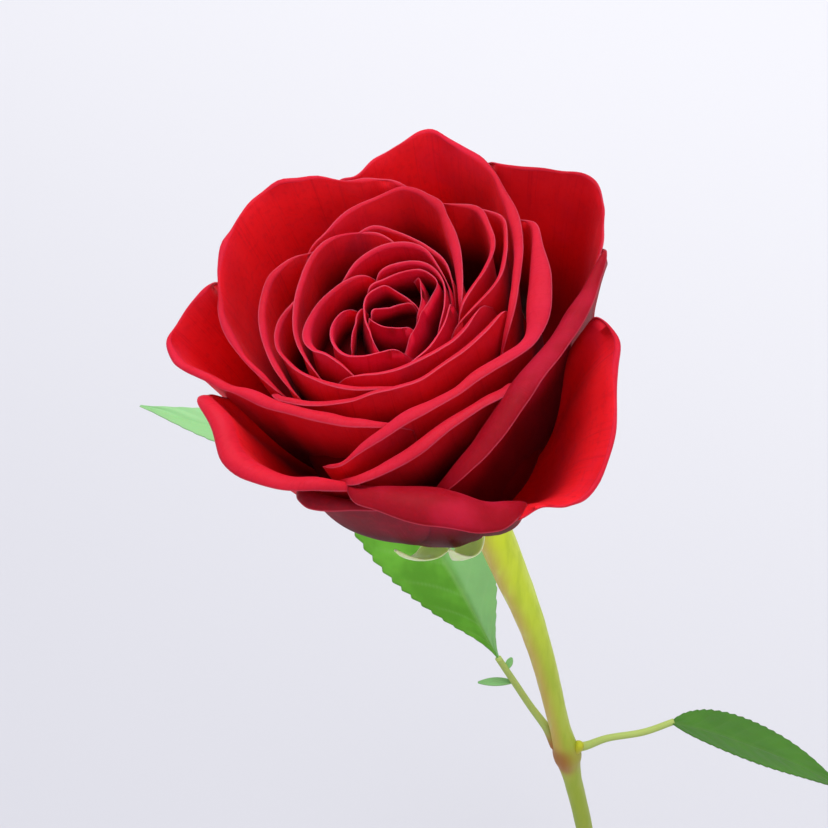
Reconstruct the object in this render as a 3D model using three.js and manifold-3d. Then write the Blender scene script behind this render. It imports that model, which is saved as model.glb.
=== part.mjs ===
// A single red garden rose, cut on a long stem, standing in a plain white bud vase with water.
// Millimetres, +Z up. The origin is the middle of the flat foot of the vase.
import * as THREE from "three";
import { mergeVertices } from "three/addons/utils/BufferGeometryUtils.js";
import Module from "manifold-3d";

const wasm = await Module();
wasm.setup();

// ---- Driving dimensions -------------------------------------------------------------------

const GAP = 0.3;                       // clearance between pieces that touch
const SLIVER = 0.03;                   // slivers thinner than this, left by a join, are smoothed out

// Vase: outer and inner profile as [radius, height].
const VASE_HEIGHT = 165;
const VASE_FOOT_RADIUS = 27;
const VASE_FLOOR = 6;                  // thickness of the base
const VASE_OUTSIDE = [
  [VASE_FOOT_RADIUS, 0], [29, 2], [33.5, 14], [36, 30], [36, 46], [33.5, 62],
  [28, 80], [21.5, 97], [16.5, 113], [14, 129], [13.4, 144], [14.2, 157], [15.4, VASE_HEIGHT - 1],
];
const VASE_INSIDE = [
  [12, VASE_HEIGHT - 1], [11, VASE_HEIGHT - 5], [10.4, 144], [11, 130], [13.4, 114], [18.2, 98],
  [24.6, 81], [30, 63], [32.4, 46], [32.4, 30], [30, 15], [24, VASE_FLOOR],
];
const VASE_SIDES = 24;
const WATER_LEVEL = 112;
const WATER_SIDES = 16;

// Stem: [x, y, z, radius] from the cut end on the floor of the vase up to the seat of the bloom.
const STEM_ROUTE = [
  [17.5, -5, 6.8, 2.3], [11, -3, 50, 2.35], [2, -1.2, 105, 2.4], [-8, 0.8, 163, 2.45],
  [-15.5, 4.3, 209, 2.5], [-19.6, 6.9, 230, 2.6], [-22.8, 8.8, 247, 3.5], [-25.4, 10, 260, 2.85],
  [-32.2, 11.7, 297, 3.1], [-37.6, 11.9, 322, 3.55], [-41.6, 11.6, 338, 4.0], [-46.5, 11, 358, 4.3],
  [-49.8, 10.6, 370, 4.3], [-53, 10.6, 381, 4.6],
];
const STEM_SIDES = 12;
const STEM_STEPS = 34;

// Hip (the receptacle that carries the petals): [radius, height] about the bloom's axis.
const HIP = [[3.6, -15], [4.9, -12.5], [6.4, -9.5], [7.2, -6], [7, -3], [6, 0]];
// Sepals: azimuth, and how far out each lies as a share of the run below.
const SEPALS = [[257, 1], [276, 1], [6, 1.15], [80, 1.16], [158, 1.25]];
const SEPAL_WIDTH = 6.5;
// How a sepal runs from the hip to its tip: [radius, height] about the bloom's axis.
const SEPAL_RUN = [
  [4.5, -1.6], [11.5, -1.8], [17.8, -0.6], [23.2, 2.4], [27.2, 7], [30.2, 13], [32.3, 19.5],
];

// Bloom: its crown point, its lean, and how far the seat lies from the crown's own axis.
const CROWN = new THREE.Vector3(-69, 10.3, 442.6);
const CROWN_HEIGHT = 54;               // crown above the seat
const LEAN = new THREE.Vector3(-0.139, -0.0587, 0.9886).normalize();
const SEAT_SHIFT = new THREE.Vector3(5.7, -2.8, 1);
const PETAL_THICKNESS = 0.7;
const PETAL_CLAW = 0.42;               // width of a petal's claw as a share of its full width
const WIDE_CLAW = { bottom_left: 0.6 }; // the same, where it is wider
const LIP_TURN = 2.0;                  // how far a rolled lip turns over, in radians
// How far a petal's belly bulges, as a share of what its radius gives.
const FULLNESS = { under_left: 1.06, under_front: 1.15, bottom_front: 0.94, lower_right: 0.75 };
const COLUMNS_PER_STATION = 0.7;       // columns of a petal's sheet for each step between its stations

// Petals from the outside inwards. Each station on the rim is
// [azimuth, radius, lift, lip]: azimuth in degrees seen from above (0 right, 90 back, 180 left,
// 270 front), radius and the lift above the bloom's rim surface in mm, width of the rolled lip in mm.
const PETALS = {
  under_left: [[226, 31, -18, 0], [231, 32.5, -10, 1.5], [236, 34, -6, 4], [241, 34, -5.5, 5],
      [249, 33, -6.5, 3.5], [259, 32, -9, 1.5], [270, 31, -12, 0], [280, 29, -18, 0]],
  under_front: [[240, 26, -18, 0], [254, 28.5, -12, 0], [266, 29.5, -11, 0], [276, 29.5, -13, 0],
      [284, 28, -17, 0], [290, 26, -23, 0]],
  right_back: [[76, 45, -14, 0], [66, 42.5, -4, 0], [60, 40.5, 0, 0.5], [54, 42, 0, 0.8],
      [46, 46.5, 0, 0.8], [40, 49.5, 0, 1], [33, 47.5, 0, 1], [26, 44, 0, 0.8], [20, 41.2, -0.5, 0.4],
      [14, 37, -3, 0], [8, 33.5, -8, 0], [2, 30, -15, 0]],
  lower_right: [[364, 34, -10, 0], [361.5, 37, -2.5, 0], [358, 38.8, 0, 0.6], [354, 40.5, 0, 1],
      [346, 41, 0, 1], [336, 43, 0, 1], [326, 45, 0, 1.2], [315, 46.3, 0, 1.2], [310, 45.5, 0, 1],
      [305, 43.2, 0, 0.6], [298, 42.5, -1, 0.5], [292, 38, -7, 0], [287, 33, -14, 0]],
  bottom_left: [[186, 37, -12, 0], [191, 39, -4, 1], [196, 38.5, -0.3, 3], [206, 36.3, 0, 5],
      [216, 37.3, 0, 6], [227, 36.5, 0, 5], [238, 34.5, 0, 4], [246, 33, -0.5, 3.5], [253, 31.5, -3, 2],
      [260, 30, -7, 1], [268, 28.5, -12, 0]],
  bottom_front: [[244, 29, -10, 0], [251, 32, -3, 1.5], [256, 33, -0.5, 4], [264, 32.5, 0, 7],
      [276, 33, 0, 10.5], [286, 35, 0, 11], [293, 38, -0.5, 8], [299, 39.5, -2, 4], [304, 38, -8, 1]],
  top: [[118, 44, -14, 0], [110, 39.5, -5, 0], [104, 36, -1, 0.3], [97, 38.2, 0, 0.6],
      [89, 41.8, 0, 0.8], [82, 45.2, 0, 1], [74, 41.8, 0, 1.2], [63, 38.6, 0, 1.8], [53, 33.8, 0, 2.2],
      [43, 30.2, 0, 2.3], [31, 26.7, 0, 2.3], [18, 23.6, 0, 2.2], [5, 21.7, -0.5, 2], [-10, 20.6, -3, 1],
      [-24, 19, -12, 0]],
  left_outer: [[150, 43, -12, 0], [157, 41.5, -3, 0], [163, 41.3, 0, 0.6], [170, 45, 0, 1],
      [175, 46.3, 0, 1.2], [182, 43, 0, 2.5], [190, 37, 0, 3.5], [201, 31, 0, 4], [212, 27.5, 0, 4],
      [224, 25, 0, 3.5], [238, 23, 0, 3.5], [252, 22.2, 0, 3], [265, 22, -1, 1.5], [276, 21, -6, 0]],
  back_left: [[74, 30, -14, 0], [82, 30.5, -4, 0], [89, 31, 0, 0.3], [97, 33.3, 0, 0.5],
      [105, 34.5, 0, 0.6], [118, 40.3, 0, 0.8], [129, 43.8, 0, 1], [141, 42.8, 0, 1], [154, 39.5, 0, 1.2],
      [166, 36, 0, 1.6], [176, 32.8, 0, 1.9], [189, 29.6, 0, 1.8], [200, 27, -1.5, 1], [210, 24.6, -6, 0],
      [216, 23.4, -11, 0]],
  right_long: [[31, 45.5, -16, 0], [25, 43.5, -5, 0], [19.5, 41.6, 0, 1.5], [12, 37, 0, 4],
      [2, 33, 0, 5], [-10, 29.5, 0, 6], [-24, 27, 0, 6], [-38, 26, 0, 7], [-54, 27, -1, 7],
      [-70, 29.5, -3, 5], [-82, 31, -8, 2]],
  front_low: [[244, 31, -6, 0], [256, 31, 0, 3], [266, 28.3, 0, 4], [279, 25.6, 0, 4.5],
      [292, 24, 0, 3.4], [306, 23.8, 0, 3], [317, 24.8, 0, 3], [323, 25.4, -0.5, 1.5], [329, 25, -5, 0]],
  front_lobe: [[236, 29, -8, 0], [248, 30, 0, 1], [256, 26, 0, 3], [270, 21.8, 0, 4.5],
      [288, 20, 0, 3.5], [306, 20, 0, 3], [321, 20.3, 0, 4], [334, 22.5, 0, 4], [346, 24.8, 0, 4],
      [358, 24.8, 0, 6], [372, 26, 0, 5.5], [385, 29, 0, 3], [396, 32.3, 0, 1.5], [404, 32.8, -2, 0],
      [412, 33.5, -9, 0]],
  right_mid_outer: [[72, 31.5, -10, 0], [64, 29, -3, 0], [57, 28, 0, 0.5], [46, 29.2, 0, 0.8],
      [36, 26, 0, 1], [27, 23, 0, 1.2], [17, 20.3, 0, 1.2], [4, 16.5, 0, 1], [-8, 14.2, 0, 0.8],
      [-24, 12.4, -1, 0.3], [-40, 12, -5, 0]],
  right_mid: [[82, 31.5, -10, 0], [75, 29, -3, 0], [68, 26.9, 0, 0.5], [55, 27.8, 0, 1],
      [46, 25.4, 0, 1.5], [36, 22.6, 0, 1.8], [24, 18.3, 0, 1.6], [11, 14.6, 0, 1.2], [-4, 12.7, 0, 0.5],
      [-18, 12, -4, 0]],
  back_mid: [[152, 24.5, -9, 0], [143, 23.4, -3, 0], [136, 23.4, 0, 0.5], [124, 24.2, 0, 0.8],
      [110, 26.8, 0, 0.8], [97, 28.3, 0, 0.8], [86, 29.5, 0, 1], [77, 27, 0, 1.5], [70, 24.6, 0, 2.4],
      [63, 20.9, 0, 3], [54, 17.8, 0, 3.2], [42, 15.3, 0, 2.8], [25, 13.2, 0, 2], [3, 12.3, 0, 1],
      [-12, 12.4, -4, 0]],
  left_mid_outer: [[122, 23.4, -9, 0], [130, 22.8, -2, 0], [137, 23.2, 0, 0.4], [144, 25.2, 0, 1],
      [156, 26.4, 0, 1.5], [170, 26, 0, 1.6], [184, 25, 0, 1.3], [200, 24.2, -1, 1], [218, 23.4, -3, 0],
      [232, 22, -8, 0]],
  left_mid: [[150, 23, -8, 0], [160, 20.8, -2, 0], [168, 19.6, 0, 0.4], [179, 22, 0, 1],
      [190, 22.8, 0, 1.2], [203, 21.6, 0, 1], [221, 19.4, 0, 1], [239, 17.8, 0, 1.3],
      [260, 16.2, -0.5, 1.2], [278, 15.6, -2, 0.5], [292, 15.6, -5, 0]],
  left_inner: [[80, 14.8, -6, 0], [88, 14.8, -1, 0], [98, 17, 0, 0.6], [110, 19.8, 0, 0.6],
      [124, 21.8, 0, 1], [139, 21.2, 0, 1], [156, 19.6, 0, 1], [176, 18.9, 0, 1], [195, 18.8, 0, 1],
      [213, 18.6, -1.5, 0.3], [226, 18, -6, 0]],
  front_inner: [[205, 26.5, -4, 1], [214, 26, -0.3, 1.5], [224, 23.6, 0, 1.8], [236, 20.8, 0, 1.8],
      [247, 19, 0, 1.4], [258, 17.3, 0, 1], [270, 16.5, 0, 1], [286, 16, 0, 1], [303, 15.4, 0, 1],
      [322, 15.9, 0, 1.2], [340, 17.6, 0, 1], [355, 20, 0, 0.5], [362, 21, -3, 0], [368, 21.5, -8, 0]],
  back_inner: [[124, 23, -8, 0], [117, 21.5, -2, 0], [110, 19.9, 0, 0.4], [102, 19.9, 0, 0.8],
      [90, 17.5, 0, 0.8], [75, 15.3, 0, 0.8], [62, 14, 0, 0.8], [43, 13.2, 0, 0.5], [25, 12.2, -0.5, 0],
      [8, 11.3, -5, 0]],
  front_ring: [[226, 16.5, -5, 0], [236, 16, -1, 0], [246, 14.9, 0, 0.6], [258, 14, 0, 0.8],
      [274, 13.1, 0, 1], [292, 12.5, 0, 1.1], [309, 12.7, 0, 1], [323, 13.4, 0, 1], [338, 14.2, 0, 1],
      [350, 15.2, 0, 0.5], [360, 16.6, -1, 0], [370, 18.5, -6, 0]],
  right_ring: [[268, 13.4, -5, 0], [277, 12.9, -1, 0], [288, 12.3, 0, 0.3], [305, 11.4, 0, 0.4],
      [319, 10.7, 0, 0.4], [340, 10.3, 0, 0.4], [358, 10.6, 0, 0.3], [370, 11, -4, 0]],
  left_lobe: [[108, 9.6, -6, 0], [116, 9.2, -2, 0], [126, 9.4, 0, 0.4], [144, 10.8, 0, 1],
      [160, 12.3, 0, 1.2], [180, 14.8, 0, 1.6], [196, 16.8, 0, 1.6], [206, 16.6, 0, 1],
      [214, 15.4, 0, 0.6], [226, 14.6, -0.5, 0.6], [238, 14.8, -2, 0.3], [250, 15, -6, 0]],
  ring_outer: [[160, 14, -6, 0], [150, 12.6, -1.5, 0], [141, 11.7, 0, 0.4], [118, 12.7, 0, 1],
      [92, 13.7, 0, 1], [68, 13.6, 0, 1], [46, 11.8, 0, 0.6], [16, 10.9, -1, 0], [0, 10.5, -4, 0]],
  left_cup: [[158, 7.4, -6, 0], [168, 7.9, -2, 0], [179, 9.3, 0, 0.4], [194, 11.6, 0, 0.8],
      [210, 13, 0, 0.8], [226, 12.9, 0, 0.8], [240, 11.5, 0, 0.6], [254, 9.9, 0, 0.4],
      [270, 8.8, -0.5, 0.3], [282, 9, -2.5, 0], [292, 9, -6, 0]],
  left_fold: [[160, 5.9, -4, 0], [171, 6.2, -0.5, 0], [186, 7, 0, 0.2], [202, 7.8, 0, 0.3],
      [216, 9.8, -0.5, 0.3], [226, 11.6, -2, 0], [234, 12, -5, 0]],
  ring_back: [[130, 7.4, -6, 0], [120, 7.7, -2, 0], [109, 8.3, 0, 0.4], [84, 9.4, 0, 0.8],
      [56, 10.6, 0, 0.8], [30, 10.5, 0, 0.4], [4, 9.6, 0, 0.3], [-24, 9.6, 0, 0.2], [-42, 10, -3, 0]],
  ring_inner: [[150, 7.2, -6, 0], [142, 7, -2, 0], [132, 6.9, 0, 0.3], [107, 6.9, 0, 0.4],
      [92, 7.3, 0, 0.5], [72, 8.3, 0, 0.6], [58, 9.3, 0, 0.5], [46, 9.7, 0, 0.3], [30, 9.5, 0, 0.2],
      [16, 7.3, 0, 0], [-9, 5.2, 0, 0], [-30, 5.3, 0, 0], [-47, 5.9, 0, 0], [-66, 7, -0.5, 0],
      [-80, 9, -2.5, 0]],
  ring_left: [[-12, 4.9, -3, 0], [5, 4.4, -0.3, 0], [36, 3.7, 0, 0.2], [69, 3.9, 0, 0.2],
      [90, 4.6, 0, 0.2], [107, 5.7, 0.2, 0.2], [126, 6, 0, 0.4], [146, 6.2, 0, 0.4], [163, 5.9, 0, 0.4],
      [180, 5.6, 0, 0.4], [200, 5.7, 0, 0.4], [222, 6.2, 0, 0.4], [238, 7.6, -0.3, 0.2],
      [254, 9.4, -1.5, 0], [264, 10, -5, 0]],
  bud_right: [[66, 8.4, -3, 0], [54, 8.1, -0.3, 0], [38, 6.4, 0, 0.2], [20, 5.4, 0, 0.2], [3, 4.7, 0, 0.1],
      [-14, 4.3, -0.3, 0], [-30, 4.3, -2, 0]],
  bud_back: [[204, 4.9, -3, 0], [192, 4.6, -0.5, 0], [171, 4.1, 0, 0.3], [156, 3, 0, 0.3],
      [125, 2, 0, 0.3], [90, 2, 0, 0.3], [59, 2.5, 0, 0.2], [21, 3.8, -0.3, 0], [8, 4.2, -2.5, 0]],
  bud_front: [[190, 5, -0.5, 0], [199, 4.8, 0, 0.2], [215, 4.1, 0, 0.3], [238, 3.5, 0, 0.3],
      [260, 3.2, 0, 0.3], [290, 3.9, 0, 0.3], [306, 4.6, -0.3, 0], [318, 4.8, -2.5, 0]],
};

// Rows of a petal's sheet, by the largest radius of its rim. Each starts inside the core.
const ROWS = [
  { upTo: 21, rows: [0.65, 1, 1.9] },
  { upTo: 32, rows: [0.55, 0.85, 1.05, 2] },
  { upTo: 60, rows: [0.25, 0.55, 0.85, 1.1, 2] },
];

// Core that the roots of the petals are sunk in: [radius, height] about the bloom's axis.
const CORE = [
  [0, GAP], [7, GAP], [15, 3], [21, 8], [24.5, 17], [24, 27], [20, 36], [13, 43], [6, 47], [0, 48],
];
const CORE_SIDES = 18;

// Leaves: petiole as [x, y, z, radius] and midrib as [x, y, z], then the blade: half width, where it
// is widest along the midrib, how fast it tapers, which way one half points, and how far it folds up.
const LEAF_THICKNESS = 0.7;
const PETIOLE_SIDES = 6;
const LEAVES = {
  leaf_left: {
    petiole: [[-28.9, 11.2, 257, 1.2], [-33.4, 14.6, 263, 1], [-37.4, 17.6, 269.5, 0.95],
      [-42.7, 21.5, 278.3, 0.9]],
    midrib: [[-42.3, 21.2, 277.6], [-50, 31, 288.5], [-59, 42.5, 298.5], [-72, 56.5, 306.5],
      [-86, 71, 309.5], [-97, 82.5, 306.5]],
    halfWidth: 16, widest: 0.5, taper: 1.7, side: [0.86, 0.5, 0.13], fold: 0.3, teeth: 13,
  },
  leaf_right: {
    petiole: [[-17.3, 9.5, 248.2, 1.2], [-11.8, 10.4, 251, 1], [-1.5, 11, 254, 0.95],
      [6.6, 12.6, 257.4, 0.9]],
    midrib: [[6, 12.5, 257.2], [17, 10.3, 255.6], [29, 7, 253], [41, 3.2, 249.8], [53, -1.8, 246]],
    halfWidth: 12, widest: 0.45, taper: 0.9, side: [-0.12, -0.79, 0.6], fold: 0.12, teeth: 11,
  },
  leaf_back: {
    petiole: [[-52.6, 12.9, 363.2, 1.1], [-58, 20, 361.5, 0.95], [-68, 28.5, 357.5, 0.9],
      [-78, 35.5, 352.5, 0.85]],
    midrib: [[-77.4, 35, 352.8], [-90, 42, 348], [-104, 49.5, 342.8], [-119, 57.5, 337.4],
      [-136.5, 67, 332]],
    halfWidth: 6.5, widest: 0.45, taper: 1.2, side: [0.3, 0.75, -0.05], fold: 0.3, teeth: 8,
  },
};

// Two small leaflets at the joint of the left leaf: foot, tip, half width.
const LEAFLETS = [
  { foot: [-38, 18.2, 270.6], tip: [-48, 18.4, 269.8], halfWidth: 1.1 },
  { foot: [-40.4, 19.8, 274.6], tip: [-38.9, 22.6, 276.4], halfWidth: 0.8 },
];

// ---- Helpers ------------------------------------------------------------------------------

const vector = ([x, y, z]) => new THREE.Vector3(x, y, z);
const mix = (a, b, t) => a + (b - a) * t;
const smooth = (t) => t * t * (3 - 2 * t);
const clamp = (t) => Math.min(1, Math.max(0, t));

// The parts' own colours, roughness and metalness.
function surface(color, roughness) {
  return new THREE.MeshStandardMaterial({ color, roughness, metalness: 0 });
}

function positionsOnly(geometry) {
  const bare = geometry.clone();
  for (const name of Object.keys(bare.attributes)) {
    if (name !== "position") bare.deleteAttribute(name);
  }
  return mergeVertices(bare, 1e-4);
}

function toSolid(geometry) {
  const merged = positionsOnly(geometry);
  const mesh = new wasm.Mesh({
    numProp: 3,
    vertProperties: new Float32Array(merged.attributes.position.array),
    triVerts: new Uint32Array(merged.index.array),
  });
  return new wasm.Manifold(mesh);
}

function toGeometry(solid) {
  const mesh = solid.getMesh();
  const geometry = new THREE.BufferGeometry();
  geometry.setAttribute("position", new THREE.BufferAttribute(mesh.vertProperties, 3));
  geometry.setIndex(new THREE.BufferAttribute(mesh.triVerts, 1));
  geometry.computeVertexNormals();
  return geometry;
}

// Joins solids into one body. Loose scraps and sealed hollows are dropped.
function fuse(geometries) {
  const joined = geometries.map(toSolid).reduce((whole, solid) => whole.add(solid));
  const bodies = joined.simplify(SLIVER).decompose();
  return bodies.reduce((best, body) => (body.volume() > best.volume() ? body : best));
}

// A closed thin shell over a grid of points: point(u, v) gives the middle of the sheet.
function sheet(point, columns, rows, thickness) {
  const centre = [];
  for (let j = 0; j <= rows; j++) {
    for (let i = 0; i <= columns; i++) centre.push(point(i / columns, j / rows));
  }
  const at = (i, j) => j * (columns + 1) + i;
  const vertices = [];
  const offsets = centre.map((p, k) => {
    const i = k % (columns + 1);
    const j = Math.floor(k / (columns + 1));
    const across = centre[at(Math.min(i + 1, columns), j)].clone().sub(centre[at(Math.max(i - 1, 0), j)]);
    const along = centre[at(i, Math.min(j + 1, rows))].clone().sub(centre[at(i, Math.max(j - 1, 0))]);
    return across.cross(along).normalize().multiplyScalar(thickness / 2);
  });
  centre.forEach((p, k) => vertices.push(...p.clone().add(offsets[k]).toArray()));
  centre.forEach((p, k) => vertices.push(...p.clone().sub(offsets[k]).toArray()));

  const back = centre.length;
  const indices = [];
  for (let j = 0; j < rows; j++) {
    for (let i = 0; i < columns; i++) {
      const [a, b, c, d] = [at(i, j), at(i + 1, j), at(i + 1, j + 1), at(i, j + 1)];
      indices.push(a, b, c, a, c, d);
      indices.push(back + a, back + c, back + b, back + a, back + d, back + c);
    }
  }
  const rim = [];
  for (let i = 0; i < columns; i++) rim.push(at(i, 0));
  for (let j = 0; j < rows; j++) rim.push(at(columns, j));
  for (let i = columns; i > 0; i--) rim.push(at(i, rows));
  for (let j = rows; j > 0; j--) rim.push(at(0, j));
  rim.forEach((a, k) => {
    const b = rim[(k + 1) % rim.length];
    indices.push(a, back + a, back + b, a, back + b, b);
  });
  const geometry = new THREE.BufferGeometry();
  geometry.setAttribute("position", new THREE.BufferAttribute(new Float32Array(vertices), 3));
  geometry.setIndex(indices);
  return geometry;
}

// A round rod of changing radius: a lathe bent along a curve through [x, y, z, radius] stations.
function rod(stations, steps, sides) {
  const curve = new THREE.CatmullRomCurve3(stations.map(vector), false, "centripetal");
  const radii = new THREE.CatmullRomCurve3(stations.map((s) => new THREE.Vector3(s[3], 0, 0)));
  const profile = [new THREE.Vector2(0, 0)];
  for (let k = 0; k <= steps; k++) profile.push(new THREE.Vector2(1, k / steps));
  profile.push(new THREE.Vector2(0, 1));
  const geometry = positionsOnly(new THREE.LatheGeometry(profile, sides));
  const position = geometry.attributes.position;
  const side = new THREE.Vector3(1, 0, 0);
  for (let k = 0; k < position.count; k++) {
    const t = clamp(position.getY(k));
    const tangent = curve.getTangent(t);
    const across = side.clone().addScaledVector(tangent, -side.dot(tangent)).normalize();
    const other = tangent.clone().cross(across);
    const radius = radii.getPoint(t).x;
    const p = curve.getPoint(t);
    p.addScaledVector(across, -position.getX(k) * radius);
    p.addScaledVector(other, position.getZ(k) * radius);
    position.setXYZ(k, p.x, p.y, p.z);
  }
  return geometry;
}

// Lathe about +Z, from [radius, height] pairs.
function turned(profile, sides) {
  const geometry = new THREE.LatheGeometry(profile.map(([r, h]) => new THREE.Vector2(r, h)), sides);
  return geometry.rotateX(Math.PI / 2);
}

// ---- Frame of the bloom -------------------------------------------------------------------

const RIGHT = new THREE.Vector3(1, 0, 0).addScaledVector(LEAN, -LEAN.x).normalize();
const BACK = LEAN.clone().cross(RIGHT);

// Point of the bloom at a radius, an azimuth in degrees and a height above the seat.
function bloomPoint(radius, azimuth, height) {
  const angle = THREE.MathUtils.degToRad(azimuth);
  const below = 1 - height / CROWN_HEIGHT;
  return CROWN.clone()
    .addScaledVector(LEAN, height - CROWN_HEIGHT)
    .addScaledVector(SEAT_SHIFT, Math.max(0, below) ** 2)
    .addScaledVector(RIGHT, radius * Math.cos(angle))
    .addScaledVector(BACK, radius * Math.sin(angle));
}

// Height of the rim surface: highest over the inner rings, falling outwards, most at the front.
function rimHeight(radius, azimuth) {
  const front = 0.5 - 0.5 * Math.sin(THREE.MathUtils.degToRad(azimuth));
  const drop = (radius / 42) ** 2 * (1.5 + 13.5 * front);
  const shoulder = 2 * Math.exp(-(((radius - 13) / 9) ** 2));
  const eye = 2 * Math.exp(-((radius / 4) ** 2));
  return CROWN_HEIGHT + shoulder - eye - drop;
}

// A shape turned about the bloom's own axis.
function bloomTurned(profile, sides) {
  const geometry = positionsOnly(turned(profile, sides));
  const position = geometry.attributes.position;
  for (let k = 0; k < position.count; k++) {
    const [x, y, z] = [position.getX(k), position.getY(k), position.getZ(k)];
    const p = bloomPoint(Math.hypot(x, y), THREE.MathUtils.radToDeg(Math.atan2(y, x)), z);
    position.setXYZ(k, p.x, p.y, p.z);
  }
  return geometry;
}

// ---- Petals -------------------------------------------------------------------------------

// The petal's sheet: v runs from the claw (0) to the crest (1) and over the rolled lip (2).
function petalSurface(name, stations) {
  const fullness = FULLNESS[name] ?? 1;
  const claw = WIDE_CLAW[name] ?? PETAL_CLAW;
  const rim = new THREE.CatmullRomCurve3(stations.map(([az, r, lift]) => new THREE.Vector3(az, r, lift)));
  const lips = new THREE.CatmullRomCurve3(stations.map((s) => new THREE.Vector3(s[3], 0, 0)));
  const middle = (stations[0][0] + stations[stations.length - 1][0]) / 2;
  return (u, v) => {
    const { x: azimuth, y: radius, z: lift } = rim.getPoint(u);
    const lip = Math.max(0.05, lips.getPoint(u).x);
    const crest = rimHeight(radius, azimuth) + lift;
    const belly = (7.5 + 0.68 * radius) * fullness;
    const t = Math.min(v, 1);
    const spread = mix(claw, 1, smooth(clamp(t / 0.75)));
    const s = 1 - t;
    const bezier = (a, b, c, d) => a * s ** 3 + 3 * b * t * s ** 2 + 3 * c * t * t * s + d * t ** 3;
    let r = bezier(5, 0.95 * belly, belly, radius);
    let h = bezier(2, 1, 0.6 * crest, crest);
    if (v > 1) {
      const rise = Math.atan2(0.4 * crest, radius - belly + 4);
      const turn = (v - 1) * LIP_TURN;
      r += (lip / LIP_TURN) * (Math.sin(rise) - Math.sin(rise - turn));
      h += (lip / LIP_TURN) * (Math.cos(rise - turn) - Math.cos(rise));
    }
    return bloomPoint(r, mix(middle, azimuth, spread), h);
  };
}

function petalGeometry([name, stations]) {
  const reach = Math.max(...stations.map((s) => s[1]));
  const { rows } = ROWS.find(({ upTo }) => reach < upTo);
  const columns = Math.ceil(COLUMNS_PER_STATION * (stations.length - 1));
  const surfacePoint = petalSurface(name, stations);
  const last = rows.length - 1;
  return sheet((u, v) => surfacePoint(u, rows[Math.round(v * last)]), columns, last, PETAL_THICKNESS);
}

function makeBloom() {
  const petals = Object.entries(PETALS).map(petalGeometry);
  const solid = fuse([bloomTurned(CORE, CORE_SIDES), ...petals]);
  const mesh = new THREE.Mesh(toGeometry(solid), surface(0xc2141f, 0.55));
  mesh.name = "bloom";
  return mesh;
}

// ---- Stem, hip and sepals -----------------------------------------------------------------

function sepal([azimuth, outward]) {
  const run = new THREE.CatmullRomCurve3(SEPAL_RUN.map(([r, h]) => new THREE.Vector3(r, h, 0)));
  const point = (u, v) => {
    const { x, y: height } = run.getPoint(v);
    const radius = x * outward;
    const half = (SEPAL_WIDTH / 2) * (1 - v) ** 0.7 * (1 + 0.35 * Math.sin(v * Math.PI)) + 0.25;
    const turn = THREE.MathUtils.radToDeg(((2 * u - 1) * half) / radius);
    return bloomPoint(radius, azimuth + turn, height);
  };
  return sheet(point, 2, 6, PETAL_THICKNESS);
}

function makeStem() {
  const hip = bloomTurned([[0, HIP[0][1]], ...HIP, [0, 0]], STEM_SIDES);
  const stalk = rod(STEM_ROUTE, STEM_STEPS, STEM_SIDES);
  const bud = new THREE.SphereGeometry(1.7, 8, 6).scale(1, 1, 1.5).translate(-19.8, 8.6, 249.5);
  const solid = fuse([hip, stalk, bud, ...SEPALS.map(sepal)]);
  const mesh = new THREE.Mesh(toGeometry(solid), surface(0xa3c04a, 0.5));
  mesh.name = "stem";
  return mesh;
}

// ---- Leaves -------------------------------------------------------------------------------

// A pointed blade folded along its midrib, with saw teeth along both edges.
function blade({ midrib, halfWidth, widest, taper, side, fold, teeth }) {
  const curve = new THREE.CatmullRomCurve3(midrib.map(vector), false, "centripetal");
  const sideways = vector(side).normalize();
  const rows = 2 * teeth;
  const peak = widest / (1 - widest);
  const point = (u, v) => {
    const across = 2 * u - 1;
    const tangent = curve.getTangent(v);
    const out = sideways.clone().addScaledVector(tangent, -sideways.dot(tangent)).normalize();
    const up = out.clone().cross(tangent).normalize();
    const shape = (v / widest) ** (taper * peak) * ((1 - v) / (1 - widest)) ** taper;
    const tooth = Math.round(v * rows) % 2 === 1 ? 1.05 : 0.97;
    const reach = across * (0.3 + halfWidth * shape * (Math.abs(across) > 0.9 ? tooth : 1));
    return curve.getPoint(v)
      .addScaledVector(out, reach * Math.cos(fold))
      .addScaledVector(up, Math.abs(reach) * Math.sin(fold));
  };
  return sheet(point, 4, rows, LEAF_THICKNESS);
}

function leaflet({ foot, tip, halfWidth }) {
  const [a, b] = [vector(foot), vector(tip)];
  const out = b.clone().sub(a).cross(new THREE.Vector3(0, 0, 1)).normalize();
  const point = (u, v) => a.clone().lerp(b, v)
    .addScaledVector(out, (2 * u - 1) * (0.3 + halfWidth * Math.sin(Math.PI * v) ** 0.8));
  return sheet(point, 2, 6, LEAF_THICKNESS);
}

function makeLeaf(name, extras) {
  const leaf = LEAVES[name];
  const solid = fuse([rod(leaf.petiole, 7, PETIOLE_SIDES), blade(leaf), ...extras.map(leaflet)]);
  const mesh = new THREE.Mesh(toGeometry(solid), surface(0x4f8f38, 0.5));
  mesh.name = name;
  return mesh;
}

// ---- Vase and water -----------------------------------------------------------------------

function makeVase() {
  const lip = [14.9, VASE_HEIGHT];
  const profile = [[0, 0], ...VASE_OUTSIDE, lip, [14, VASE_HEIGHT], ...VASE_INSIDE, [0, VASE_FLOOR]];
  const mesh = new THREE.Mesh(positionsOnly(turned(profile, VASE_SIDES)), surface(0xefeeea, 0.25));
  mesh.name = "vase";
  return mesh;
}

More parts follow.
